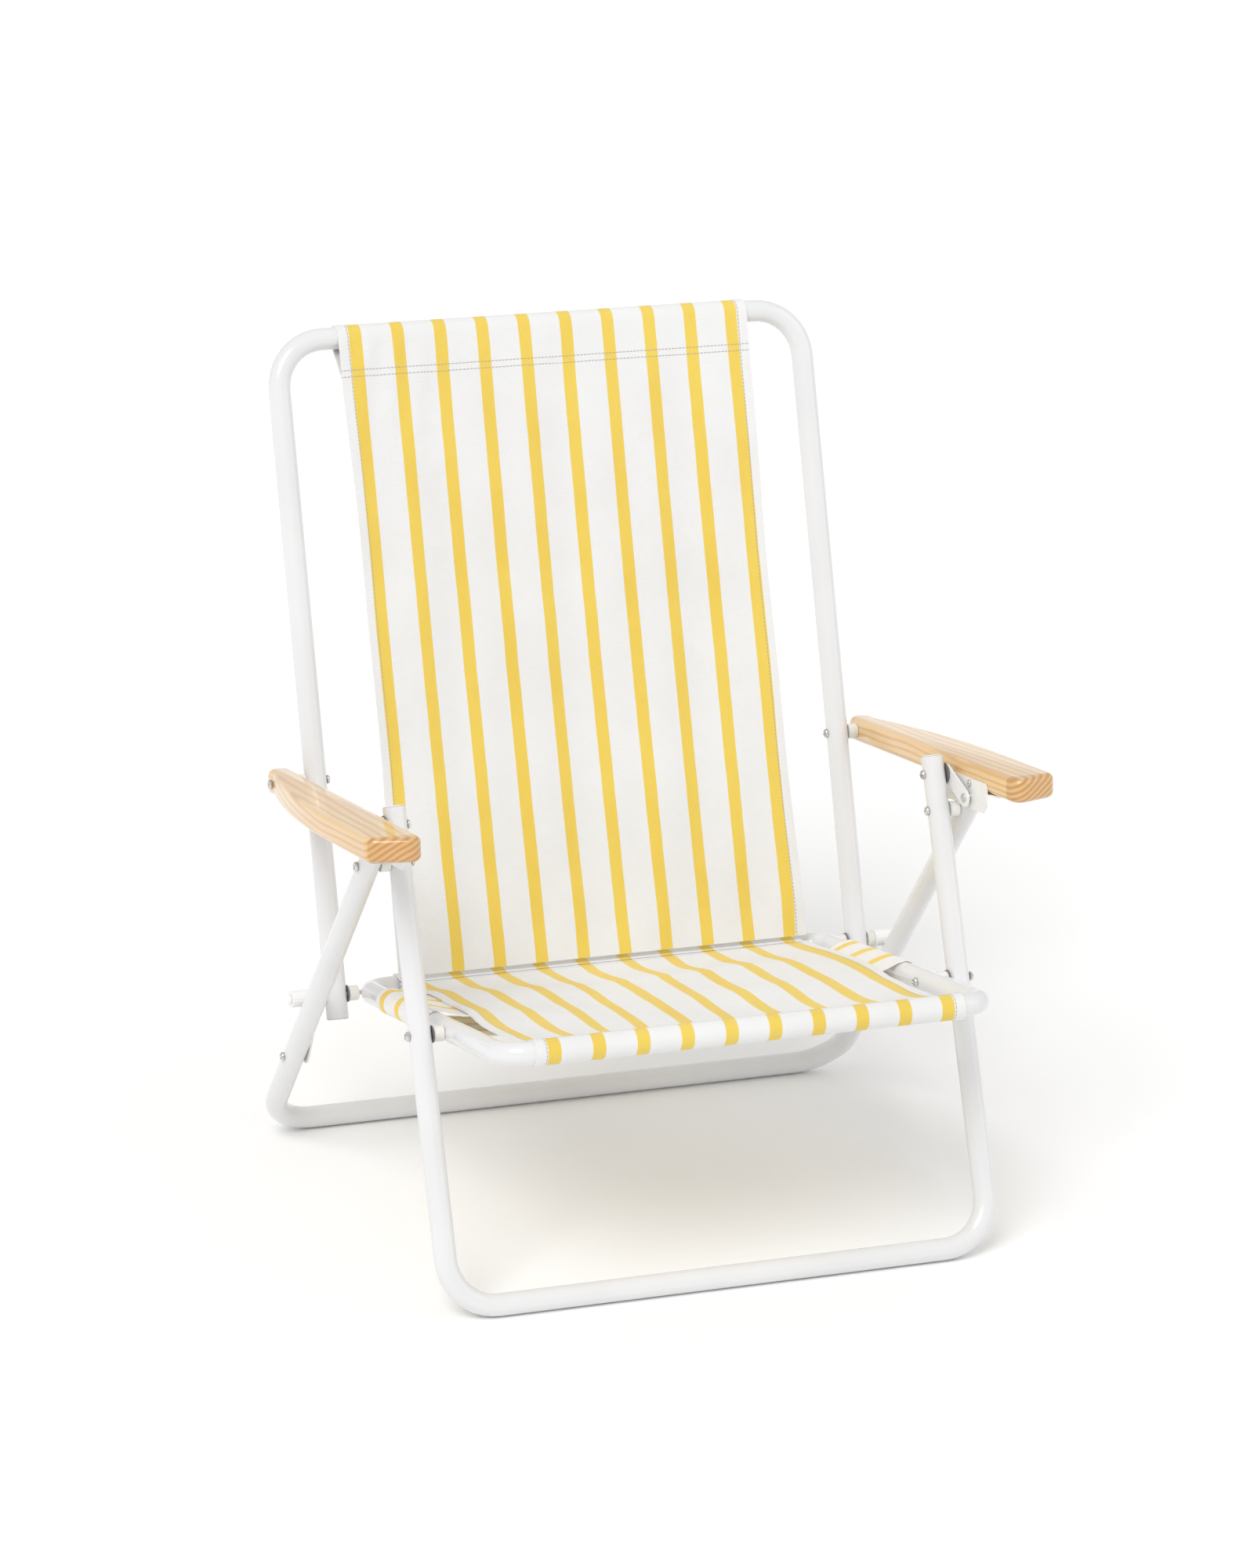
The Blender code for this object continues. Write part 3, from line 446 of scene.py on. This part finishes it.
def u_frame(name, node, body, bar, through):
    half, end = leg_end(node, bar, through)
    corners = [at(-half, end), at(-half, bar), at(half, bar), at(half, end)]
    piece = bent_tube(name, corners, (LEG_BEND, LEG_BEND))
    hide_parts(node)
    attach(piece, body)


# ---------------------------------------------------------------- tube frames
front_low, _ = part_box("front_leg_frame")
rear_low, rear_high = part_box("rear_leg_frame")
_, back_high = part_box("back_frame")
seat_low, seat_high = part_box("seat_frame")
FRONT_FLOOR_BAR = Vector((0.0, front_low.y + TUBE_R, front_low.z + TUBE_R))
REAR_FLOOR_BAR = Vector((0.0, rear_high.y - TUBE_R, rear_low.z + TUBE_R))
TOP_BAR = Vector((0.0, back_high.y - TUBE_R, back_high.z - TUBE_R))
SEAT_BAR = Vector((0.0, seat_low.y + TUBE_R, seat_high.z - TUBE_R))
CROSSBAR = Vector((0.0, seat_high.y - TUBE_R, seat_low.z + TUBE_R))
SEAT_HALF = seat_high.x - TUBE_R

u_frame("front_leg_tube", "front_leg_frame", "front_legs", FRONT_FLOOR_BAR, LEG_PIVOT)
u_frame("rear_leg_tube", "rear_leg_frame", "rear_legs", REAR_FLOOR_BAR, STOP_BOLT)
u_frame("back_tube", "back_frame", "back", TOP_BAR, HINGE)
seat_tube = bent_tube(
    "seat_tube",
    [
        at(-SEAT_HALF, SEAT_BAR), at(SEAT_HALF, SEAT_BAR),
        at(SEAT_HALF, CROSSBAR), at(-SEAT_HALF, CROSSBAR),
    ],
    (SEAT_FRONT_BEND, SEAT_FRONT_BEND, SEAT_REAR_BEND, SEAT_REAR_BEND),
    closed=True,
)
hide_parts("seat_frame")
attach(seat_tube, "seat")

# ---------------------------------------------------------------- cloth
_, sling_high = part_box("back_sling")
SLING_HALF = sling_high.x
FORWARD = (SEAT_BAR - HINGE).normalized()
UPWARD = Vector((0.0, FORWARD.z, -FORWARD.y))
SEAT_LENGTH = (SEAT_BAR - HINGE).length
# Seat and back canvas meet a little ahead of the crossbar and above it.
CREASE = CROSSBAR + Vector((0.0, -0.0215, 0.0150))


def on_seat(forward, height):
    """Point a distance forward of the hinge along the rails, and this far straight above their axis."""
    return HINGE + FORWARD * forward + Vector((0.0, 0.0, height))


def smooth(share):
    share = min(1.0, max(0.0, share))
    return share * share * (3 - 2 * share)


def eased(table, where):
    """Smooth curve through (position, value) pairs."""
    if where <= table[0][0]:
        return table[0][1]
    for index in range(len(table) - 1):
        (x0, y0), (x1, y1) = table[index], table[index + 1]
        if where <= x1:
            xa, ya = table[max(index - 1, 0)]
            xb, yb = table[min(index + 2, len(table) - 1)]
            share = (where - x0) / (x1 - x0)
            slope0 = (y1 - ya) / (x1 - xa) * (x1 - x0)
            slope1 = (yb - y0) / (xb - x0) * (x1 - x0)
            square, cube = share ** 2, share ** 3
            return (
                y0 * (2 * cube - 3 * square + 1) + slope0 * (cube - 2 * square + share)
                + y1 * (3 * square - 2 * cube) + slope1 * (cube - square)
            )
    return table[-1][1]


def spoke(centre, radius, degrees):
    """Side-view point round a bar; the angle starts at the rear and turns up."""
    angle = math.radians(degrees)
    return centre + Vector((0.0, math.cos(angle), math.sin(angle))) * radius


def arc(centre, radius, first, last, steps):
    """Side-view points round a bar between two angles."""
    return [spoke(centre, radius, first + (last - first) * step / steps) for step in range(steps + 1)]


def touch_angle(centre, radius, far, sign):
    """Angle in degrees where a line from far touches a circle."""
    to_far = far - centre
    lean = math.acos(radius / to_far.length)
    return math.degrees(math.atan2(to_far.z, to_far.y) + sign * lean)


def even(points, spacing):
    """Points at an even spacing along a polyline, with the distance of each."""
    lengths = [0.0]
    for before, after in zip(points, points[1:]):
        lengths.append(lengths[-1] + (after - before).length)
    count = max(2, round(lengths[-1] / spacing))
    spaced = []
    index = 0
    for step in range(count + 1):
        want = lengths[-1] * step / count
        while index < len(points) - 2 and lengths[index + 1] < want:
            index += 1
        span = lengths[index + 1] - lengths[index]
        share = 0.0 if span == 0 else (want - lengths[index]) / span
        spaced.append((points[index].lerp(points[index + 1], share), want))
    return spaced


def cloth_mesh(name, verts, faces, places):
    """A new object of these faces, with its cloth map: metres across and along at each vertex."""
    mesh = bpy.data.meshes.new(name)
    mesh.from_pydata(verts, [], faces)
    layer = mesh.uv_layers.new(name="cloth")
    for loop in mesh.loops:
        layer.data[loop.index].uv = places[loop.vertex_index]
    cloth = bpy.data.objects.new(name, mesh)
    bpy.context.scene.collection.objects.link(cloth)
    return cloth


def cloth_sheet(name, profile, half, shape, material, spacing=0.005, hem=HEM_WIDTH, columns=110):
    """A sheet of cloth along a side-view profile, doubled at its side hems, and its length."""
    rows = even(profile, spacing)
    verts, faces, places, weights = [], [], [], []
    for point, distance in rows:
        for column in range(columns + 1):
            across = half * (2 * column / columns - 1)
            verts.append(shape(across, distance, point))
            places.append((across, distance))
            weights.append(1.0 if half - abs(across) < hem else CLOTH / HEM)
    wide = columns + 1
    for row in range(len(rows) - 1):
        for column in range(columns):
            corner = row * wide + column
            faces.append((corner, corner + 1, corner + wide + 1, corner + wide))
    sheet = cloth_mesh(name, verts, faces, places)
    group = sheet.vertex_groups.new(name="thickness")
    for index, weight in enumerate(weights):
        group.add([index], weight, "REPLACE")
    apply_modifier(sheet, "SOLIDIFY", thickness=HEM, offset=0.0, vertex_group="thickness")
    return settle(sheet, name, material, 60), rows[-1][1]


# ---------------------------------------------------------------- back canvas
CREASE_GAP = 0.004
TAIL_LENGTH = 0.040
TAIL_BEHIND = 0.0016
SLACK_LENGTH = 0.085


def back_profile():
    """From the sleeve's stitched tail behind the panel, over the top bar, down to the crease."""
    low = CREASE + (TOP_BAR - CREASE).normalized() * CREASE_GAP
    front = touch_angle(TOP_BAR, SLEEVE_R, low, -1.0) % 360
    front_at = spoke(TOP_BAR, SLEEVE_R, front)
    way = (low - front_at).normalized()
    behind = Vector((0.0, -way.z, way.y))
    tail = front_at + way * TAIL_LENGTH + behind * TAIL_BEHIND
    rear = (touch_angle(TOP_BAR, SLEEVE_R, tail, 1.0) + 180) % 360 - 180
    return [tail, *arc(TOP_BAR, SLEEVE_R, rear, front, 20), low]


BACK_PROFILE = back_profile()
SLEEVE_LENGTH = sum((b - a).length for a, b in zip(BACK_PROFILE[:-2], BACK_PROFILE[1:-1]))
PANEL_WAY = (BACK_PROFILE[-1] - BACK_PROFILE[-2]).normalized()
PANEL_BEHIND = Vector((0.0, -PANEL_WAY.z, PANEL_WAY.y))
PANEL_LENGTH = (BACK_PROFILE[-1] - BACK_PROFILE[-2]).length


def back_shape(across, distance, point):
    """Long soft folds and a slight belly, fading out at the sleeve and at the crease."""
    down = (distance - SLEEVE_LENGTH) / PANEL_LENGTH
    place = Vector((across, point.y, point.z))
    if down <= 0:
        return place
    side = abs(across) / SLING_HALF
    bow = math.sin(math.pi * min(1.0, down))
    belly = 0.006 * bow * (1 - side ** 2)
    folds = 0.0011 * math.sin(across * 51 + 0.6) + 0.0008 * math.sin(across * 97 + down * 3.0)
    gather = 0.0014 * math.sin(across * 88) * smooth((down - 0.80) / 0.15)
    edge = 0.0016 * math.sin(down * 17 + (1.3 if across > 0 else 0.0)) * side ** 8
    # The sleeve pulls small creases into the panel below it, most at one side.
    near_side = math.exp(-((across / SLING_HALF + 0.8) / 0.22) ** 2)
    near_top = math.exp(-(down / 0.16) ** 2)
    pulls = 0.0012 * math.sin(across * 210 + down * 26) * near_side * near_top
    free = smooth(down / 0.10) * smooth((1 - down) / 0.06)
    offset = free * (belly + folds + gather + edge) + pulls * smooth(down / 0.02)
    inward = 0.004 * side ** 6 * bow * (-1 if across > 0 else 1)
    return place + PANEL_BEHIND * offset + Vector((inward, 0.0, 0.0))


BACK_CANVAS = woven_canvas(
    "back_canvas", (SLEEVE_LENGTH + 0.0335, SLEEVE_LENGTH + 0.0400), stitched_sides=True
)
back_cloth, back_cut = cloth_sheet("back_canvas", BACK_PROFILE, SLING_HALF, back_shape, BACK_CANVAS)
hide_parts("back_sling", "back_sling_lower")
BACK_PROFILE[-1] - PANEL_WAY * SLACK_LENGTH
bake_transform(back_cloth)

# ---------------------------------------------------------------- seat canvas
# Height above the rails' axis of the cloth's middle and of its edges, by distance forward of the hinge
SEAT_MIDDLE = (
    (0.018, 0.0068), (0.045, 0.0040), (0.075, 0.0034), (0.100, 0.0050), (0.116, 0.0061),
    (0.130, 0.0050), (0.150, 0.0034), (0.185, 0.0002), (0.223, -0.0018), (0.260, -0.0062),
    (0.296, -0.0100), (0.330, -0.0098), (0.360, -0.0046), (0.384, 0.0060), (SEAT_LENGTH, 0.0125),
)
SEAT_EDGE = (
    (0.018, 0.0075), (0.060, 0.0070), (0.095, 0.0092), (0.116, 0.0094), (0.150, 0.0086),
    (0.205, 0.0072), (0.240, 0.0030), (0.290, 0.0005), (0.330, 0.0005), (0.365, 0.0040),
    (0.385, 0.0095), (SEAT_LENGTH, 0.0125),
)
SEAT_START = 0.022
SEAT_STOP_SHORT = 0.024
SEAT_STEP = 0.004
FRONT_BAR_WRAP = 262


def seat_height(x, forward):
    """Height of the seat cloth above the rails' axis."""
    share = smooth(abs(x) / SLING_HALF) ** 1.3
    return eased(SEAT_MIDDLE, forward) * (1 - share) + eased(SEAT_EDGE, forward) * share


def seat_profile():
    """From the crease forward to the front bar, then over, round and under it."""
    count = int((SEAT_LENGTH - SEAT_STOP_SHORT) / SEAT_STEP)
    top = [on_seat(SEAT_START + SEAT_STEP * step, 0.0) for step in range(count)]
    upright = math.degrees(math.atan2(UPWARD.z, UPWARD.y))
    return [CREASE, *top, *arc(SEAT_BAR, SLEEVE_R, upright, upright + FRONT_BAR_WRAP, 26)]


def seat_shape(across, distance, point):
    """The seat's sag between its edges, its rise over the band, and soft waves."""
    if (point - SEAT_BAR).length < SLEEVE_R * 1.02:
        return Vector((across, point.y, point.z))
    forward = (point - HINGE).dot(FORWARD)
    free = smooth((forward - 0.02) / 0.03) * smooth((SEAT_LENGTH - forward) / 0.06)
    waves = 0.0008 * math.sin(across * 60 + forward * 9)
    waves += 0.0006 * math.sin(across * 23 - forward * 60)
    base = on_seat(forward, seat_height(across, forward) + waves * free)
    inward = 0.003 * (abs(across) / SLING_HALF) ** 6 * free * (-1 if across > 0 else 1)
    return Vector((across + inward, base.y, base.z))


SEAT_CANVAS = woven_canvas("seat_canvas", (0.010,), stitched_sides=True)
seat_cloth, seat_cut = cloth_sheet(
    "seat_canvas", seat_profile(), SLING_HALF, seat_shape, SEAT_CANVAS, spacing=0.004
)
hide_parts("seat_sling")
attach(seat_cloth, "seat")

# ---------------------------------------------------------------- crossbar pocket
POCKET_HALF = SLING_HALF - 0.004


def pocket_profile():
    """From just under the crease round the crossbar and back."""
    low = CREASE + Vector((0.0, 0.001, -0.0022))
    first = touch_angle(CROSSBAR, SLEEVE_R, low, -1.0)
    last = touch_angle(CROSSBAR, SLEEVE_R, low, 1.0)
    while last > first:
        last -= 360
    return [low, *arc(CROSSBAR, SLEEVE_R, first, last, 24), low + Vector((0.0, 0.0, -0.0012))]


def pocket_shape(across, distance, point):
    return Vector((across, point.y, point.z))


PLAIN_CANVAS = woven_canvas("under_canvas")
pocket, pocket_cut = cloth_sheet(
    "crossbar_pocket", pocket_profile(), POCKET_HALF, pocket_shape, PLAIN_CANVAS,
    spacing=0.003, hem=0.004,
)
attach(pocket, "seat")

# ---------------------------------------------------------------- support band
# Distance forward of the hinge of the band's two edges, on the rails and midway between them
BAND_REAR, BAND_FRONT = 0.062, 0.205
BAND_MIDDLE_REAR, BAND_MIDDLE_FRONT = 0.114, 0.221
# How far in from a rail it keeps its width, then narrows, and over what length it leaves the rail's top
BAND_KEPT, BAND_NARROWS, BAND_LEAVES = 0.010, 0.085, 0.030
BAND_BELOW_SEAT = 0.0022
BAND_LAYERS_APART = 0.010
BAND_STRAIGHTS, BAND_TURNS, BAND_COLUMNS = 56, 12, 30


def band_stations():
    """Once round both rails: (face, x, angle at a rail, length to the next)."""
    stations = []
    for side, face in ((1, "top"), (-1, "under")):
        for step in range(BAND_STRAIGHTS):
            x = side * (2 * SEAT_HALF * step / BAND_STRAIGHTS - SEAT_HALF)
            stations.append((face, x, 0.0, 2 * SEAT_HALF / BAND_STRAIGHTS))
        for step in range(BAND_TURNS):
            angle = side * math.pi / 2 - math.pi * step / BAND_TURNS
            stations.append(("rail", side * SEAT_HALF, angle, math.pi * SLEEVE_R / BAND_TURNS))
    return stations


def band_place(face, x, angle, across):
    """One point of the band; across runs 0 to 1 from its rear edge to its front edge."""
    if face == "rail":
        forward = BAND_REAR + (BAND_FRONT - BAND_REAR) * across
        point = HINGE + FORWARD * forward + UPWARD * (SLEEVE_R * math.sin(angle))
        return at(x + SLEEVE_R * math.cos(angle), point)
    inside = smooth((SEAT_HALF - BAND_KEPT - abs(x)) / BAND_NARROWS)
    rear = BAND_REAR + (BAND_MIDDLE_REAR - BAND_REAR) * inside
    front = BAND_FRONT + (BAND_MIDDLE_FRONT - BAND_FRONT) * inside
    forward = rear + (front - rear) * across
    top = seat_height(x, forward) - BAND_BELOW_SEAT
    free = smooth((SEAT_HALF - abs(x)) / BAND_LEAVES)
    base = HINGE + FORWARD * forward
    if face == "top":
        taut = base + UPWARD * SLEEVE_R
        hanging = on_seat(forward, top)
    else:
        taut = base - UPWARD * SLEEVE_R
        hanging = on_seat(forward, min(top - BAND_LAYERS_APART, -0.0135 - 0.004 * free))
    return at(x, taut.lerp(hanging, free))


def support_band():
    """The band as one closed loop of cloth, and its length."""
    stations = band_stations()
    verts, faces, places = [], [], []
    length = 0.0
    for face, x, angle, run in stations:
        for column in range(BAND_COLUMNS + 1):
            across = column / BAND_COLUMNS
            verts.append(band_place(face, x, angle, across))
            places.append((length, across * (BAND_FRONT - BAND_REAR)))
        length += run
    wide = BAND_COLUMNS + 1
    for index in range(len(stations)):
        here, after = index * wide, (index + 1) % len(stations) * wide
        for column in range(BAND_COLUMNS):
            faces.append((here + column, after + column, after + column + 1, here + column + 1))
    band = cloth_mesh("rail_band", verts, faces, places)
    apply_modifier(band, "SOLIDIFY", thickness=CLOTH, offset=0.0)
    return band, length


band, band_cut = support_band()
settle(band, "rail_band", band_canvas_painted_glow("band_canvas_painted_glow"), 60)
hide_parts("support_band")
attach(band, "seat")

# ---------------------------------------------------------------- armrests
ARM_THICK = 0.024
ARM_EDGE = 0.0058
ARM_ABOVE_STOP = 0.0378
ARM_PAST_STOP = 0.1403
ARM_REAR = 0.0240
WIDTH_REAR, WIDTH_FRONT, FLARE = 0.0235, 0.0515, 0.250
OUTER_LENGTH = 0.26
OUTLINE_STEPS = 14
FRONT_SKEW = 0.022
FRONT_CORNER_R, FRONT_TIP_R = 0.014, 0.012
arm_low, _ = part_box("armrest_right")
WOOD_IN = arm_low.x


def arm_forward():
    """Direction of the wood's mid line, which passes a set height above the stop bolt."""
    to_stop = STOP_BOLT - ARM_BOLT
    reach = Vector((to_stop.y, to_stop.z)).length
    angle = math.atan2(to_stop.z, to_stop.y) - math.asin(ARM_ABOVE_STOP / reach)
    return Vector((0.0, math.cos(angle), math.sin(angle)))


ARM_FORWARD = arm_forward()
ARM_UP = Vector((0.0, ARM_FORWARD.z, -ARM_FORWARD.y))
ARM_FRONT = (STOP_BOLT - ARM_BOLT).dot(ARM_FORWARD) + ARM_PAST_STOP


def arm_width(forward):
    share = min(1.0, max(0.0, forward / FLARE))
    return WIDTH_REAR + (WIDTH_FRONT - WIDTH_REAR) * share * (2 - share)


def rounded(before, corner, after, radius, steps=8):
    """Plan points round a corner of this radius."""
    to_last = (before - corner).normalized()
    to_next = (after - corner).normalized()
    half = to_last.angle(to_next) / 2
    centre = corner + (to_last + to_next).normalized() * (radius / math.sin(half))
    first = corner + to_last * (radius / math.tan(half)) - centre
    last = corner + to_next * (radius / math.tan(half)) - centre
    sweep = first.angle(last)
    points = []
    for step in range(steps + 1):
        turned = sweep * step / steps
        share_first = math.sin(sweep - turned) / math.sin(sweep)
        share_last = math.sin(turned) / math.sin(sweep)
        points.append(centre + first * share_first + last * share_last)
    return points


def arm_outline():
    """Plan of one armrest: (forward, out from the inner face)."""
    outer, rear = [], []
    rear_r = arm_width(0.0) / 2
    for step in range(OUTLINE_STEPS + 1):
        forward = OUTER_LENGTH * step / OUTLINE_STEPS
        outer.append(Vector((forward, arm_width(forward))))
        angle = -math.pi / 2 - math.pi * step / OUTLINE_STEPS
        spoke_out = Vector((math.cos(angle), math.sin(angle))) * rear_r
        rear.append(Vector((rear_r - ARM_REAR, rear_r)) + spoke_out)
    corner = Vector((ARM_FRONT - FRONT_SKEW, WIDTH_FRONT))
    tip = Vector((ARM_FRONT, 0.0))
    front = rounded(outer[-1], corner, tip, FRONT_CORNER_R)
    front += rounded(corner, tip, Vector((0.0, 0.0)), FRONT_TIP_R)
    return outer + front + rear


def armrest(side_word):
    side = 1 if side_word == "right" else -1
    outline = arm_outline()
    bpy.ops.mesh.primitive_circle_add(vertices=len(outline), radius=0.05, fill_type="NGON")
    wood = bpy.context.object
    for vertex, place in zip(wood.data.vertices, outline):
        point = ARM_BOLT + ARM_FORWARD * place.x - ARM_UP * (ARM_THICK / 2)
        vertex.co = at(side * (WOOD_IN + place.y), point)
    bpy.ops.object.mode_set(mode="EDIT")
    bpy.ops.mesh.select_all(action="SELECT")
    bpy.ops.mesh.extrude_region_move(TRANSFORM_OT_translate={"value": ARM_UP * ARM_THICK})
    bpy.ops.mesh.select_all(action="SELECT")
    bpy.ops.mesh.normals_make_consistent(inside=False)
    bpy.ops.object.mode_set(mode="OBJECT")
    apply_modifier(
        wood, "BEVEL", width=ARM_EDGE, segments=5, limit_method="ANGLE", angle_limit=math.radians(50)
    )
    settle(wood, f"wooden_armrest_{side_word}", PINE, 35)
    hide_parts(f"armrest_{side_word}")
    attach(wood, f"armrest_{side_word}")


END_AT = (ARM_BOLT + ARM_FORWARD * (ARM_FRONT - FRONT_SKEW)).dot(ARM_FORWARD)
PINE = varnished_pine("varnished_pine", ARM_FORWARD, END_AT)
for side_word in SIDES:
    armrest(side_word)

# ---------------------------------------------------------------- bolts with a cross recess
CROSS_CUTTER_LENGTH = 0.0026
CROSS_WIDE, CROSS_NARROW = 1.15, 0.26  # shares of the head's radius


def body_of(node):
    bodies = frame["record"]["behaviour"]["bodies"]
    return next(body for body, members in bodies.items() if node in members)


def crossed_bolt(node, ends, turn):
    """The bolt with a cross sunk into its head; ends says which ends have one: -1 low x, 1 high x."""
    low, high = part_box(node)
    centre = (low + high) / 2
    head_r = (high.z - low.z) / 2
    bolt = frame["nodes"][node].copy()
    bolt.data = bolt.data.copy()
    for key in list(bolt.keys()):
        del bolt[key]
    bolt.parent = None
    bpy.context.scene.collection.objects.link(bolt)
    deselect()
    bpy.context.view_layer.objects.active = bolt
    bolt.select_set(True)
    bpy.ops.object.mode_set(mode="EDIT")
    bpy.ops.mesh.select_all(action="SELECT")
    bpy.ops.mesh.remove_doubles(threshold=0.00001)
    bpy.ops.object.mode_set(mode="OBJECT")
    for end in ends:
        for quarter in (0.0, math.pi / 2):
            bpy.ops.mesh.primitive_cube_add(
                size=1.0,
                location=at(high.x if end > 0 else low.x, centre),
                rotation=(turn + quarter, 0.0, 0.0),
                scale=(CROSS_CUTTER_LENGTH, head_r * CROSS_WIDE, head_r * CROSS_NARROW),
            )
            cutter = bpy.context.object
            apply_modifier(bolt, "BOOLEAN", operation="DIFFERENCE", solver="EXACT", object=cutter)
            bpy.data.objects.remove(cutter, do_unlink=True)
    settle(bolt, f"crossed_{node}", BRIGHT, 30)
    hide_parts(node)
    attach(bolt, body_of(node))


# Each kind's crossed ends on the right side of the chair: -1 faces in, 1 faces out.
HEADS = (
    ("bracket_screw", (-1,)), ("strap_bolt", (-1,)), ("stop_bolt", (-1, 1)), ("leg_bolt", (-1, 1)),
    ("link_bolt", (1,)), ("arm_bolt", (-1, 1)),
)
for number, (kind, ends) in enumerate(HEADS):
    for side_word in SIDES:
        out = 1 if side_word == "right" else -1
        turn = 0.35 + 0.9 * number + 0.4 * out
        crossed_bolt(f"{kind}_{side_word}", [end * out for end in ends], turn)

# ---------------------------------------------------------------- floor, light and camera
FLOOR_GAP = 0.0002
bpy.ops.mesh.primitive_plane_add(size=60.0, location=(0.0, 0.0, cad_low.z - FLOOR_GAP))
floor = bpy.context.object
floor.name = "studio_floor"
pale = Finish("pale_floor", Roughness=0.9, Specular_IOR_Level=0.1)
floor_cloud = pale.noise(pale.place(), 3.0, 2.0)
pale.paint(Base_Color=pale.mix(floor_cloud * 0.1, (0.97, 0.97, 0.97), (0.955, 0.955, 0.955)))
floor.data.materials.append(pale.material)

world = bpy.data.worlds.new("studio")
bpy.context.scene.world = world
world.use_nodes = True
background = world.node_tree.nodes["Background"]
background.inputs["Color"].default_value = (1.0, 1.0, 1.0, 1.0)
background.inputs["Strength"].default_value = 0.72


def soft_light(name, way, spread, strength):
    """A wide, even light from far away, shining along a direction."""
    data = bpy.data.lights.new(name, "SUN")
    data.energy = strength
    data.angle = math.radians(spread)
    lamp = bpy.data.objects.new(name, data)
    lamp.rotation_euler = Vector(way).to_track_quat("-Z", "Y").to_euler()
    bpy.context.scene.collection.objects.link(lamp)


soft_light("key_light", (0.62, 0.55, -1.0), 32.0, 1.35)
soft_light("side_light", (-0.9, 0.45, -0.55), 45.0, 0.25)

# The camera stands off towards the chair's front left, a little above it, and is rolled slightly.
LENS_MM = 140.56
CAMERA_DISTANCE = 6.0118
AZIMUTH, ELEVATION, ROLL = math.radians(-21.84), math.radians(20.52), math.radians(2.62)
AIM = Vector((-0.00465, 0.01309, 0.40832)) + Vector((0.0, 0.0, cad_low.z))

bpy.context.scene.view_settings.view_transform = "Standard"
camera_data = bpy.data.cameras.new("camera")
camera_data.sensor_width = 36.0
camera_data.lens = LENS_MM
camera = bpy.data.objects.new("camera", camera_data)
bpy.context.scene.collection.objects.link(camera)
bpy.context.scene.camera = camera
away = Vector((
    math.sin(AZIMUTH) * math.cos(ELEVATION),
    -math.cos(AZIMUTH) * math.cos(ELEVATION),
    math.sin(ELEVATION),
))
level_right = Vector((0.0, 0.0, 1.0)).cross(away).normalized()
level_up = away.cross(level_right)
right = level_right * math.cos(ROLL) + level_up * math.sin(ROLL)
up = level_up * math.cos(ROLL) - level_right * math.sin(ROLL)
stand = AIM + away * CAMERA_DISTANCE
camera.matrix_world = Matrix((
    (right.x, up.x, away.x, stand.x),
    (right.y, up.y, away.y, stand.y),
    (right.z, up.z, away.z, stand.z),
    (0.0, 0.0, 0.0, 1.0),
))
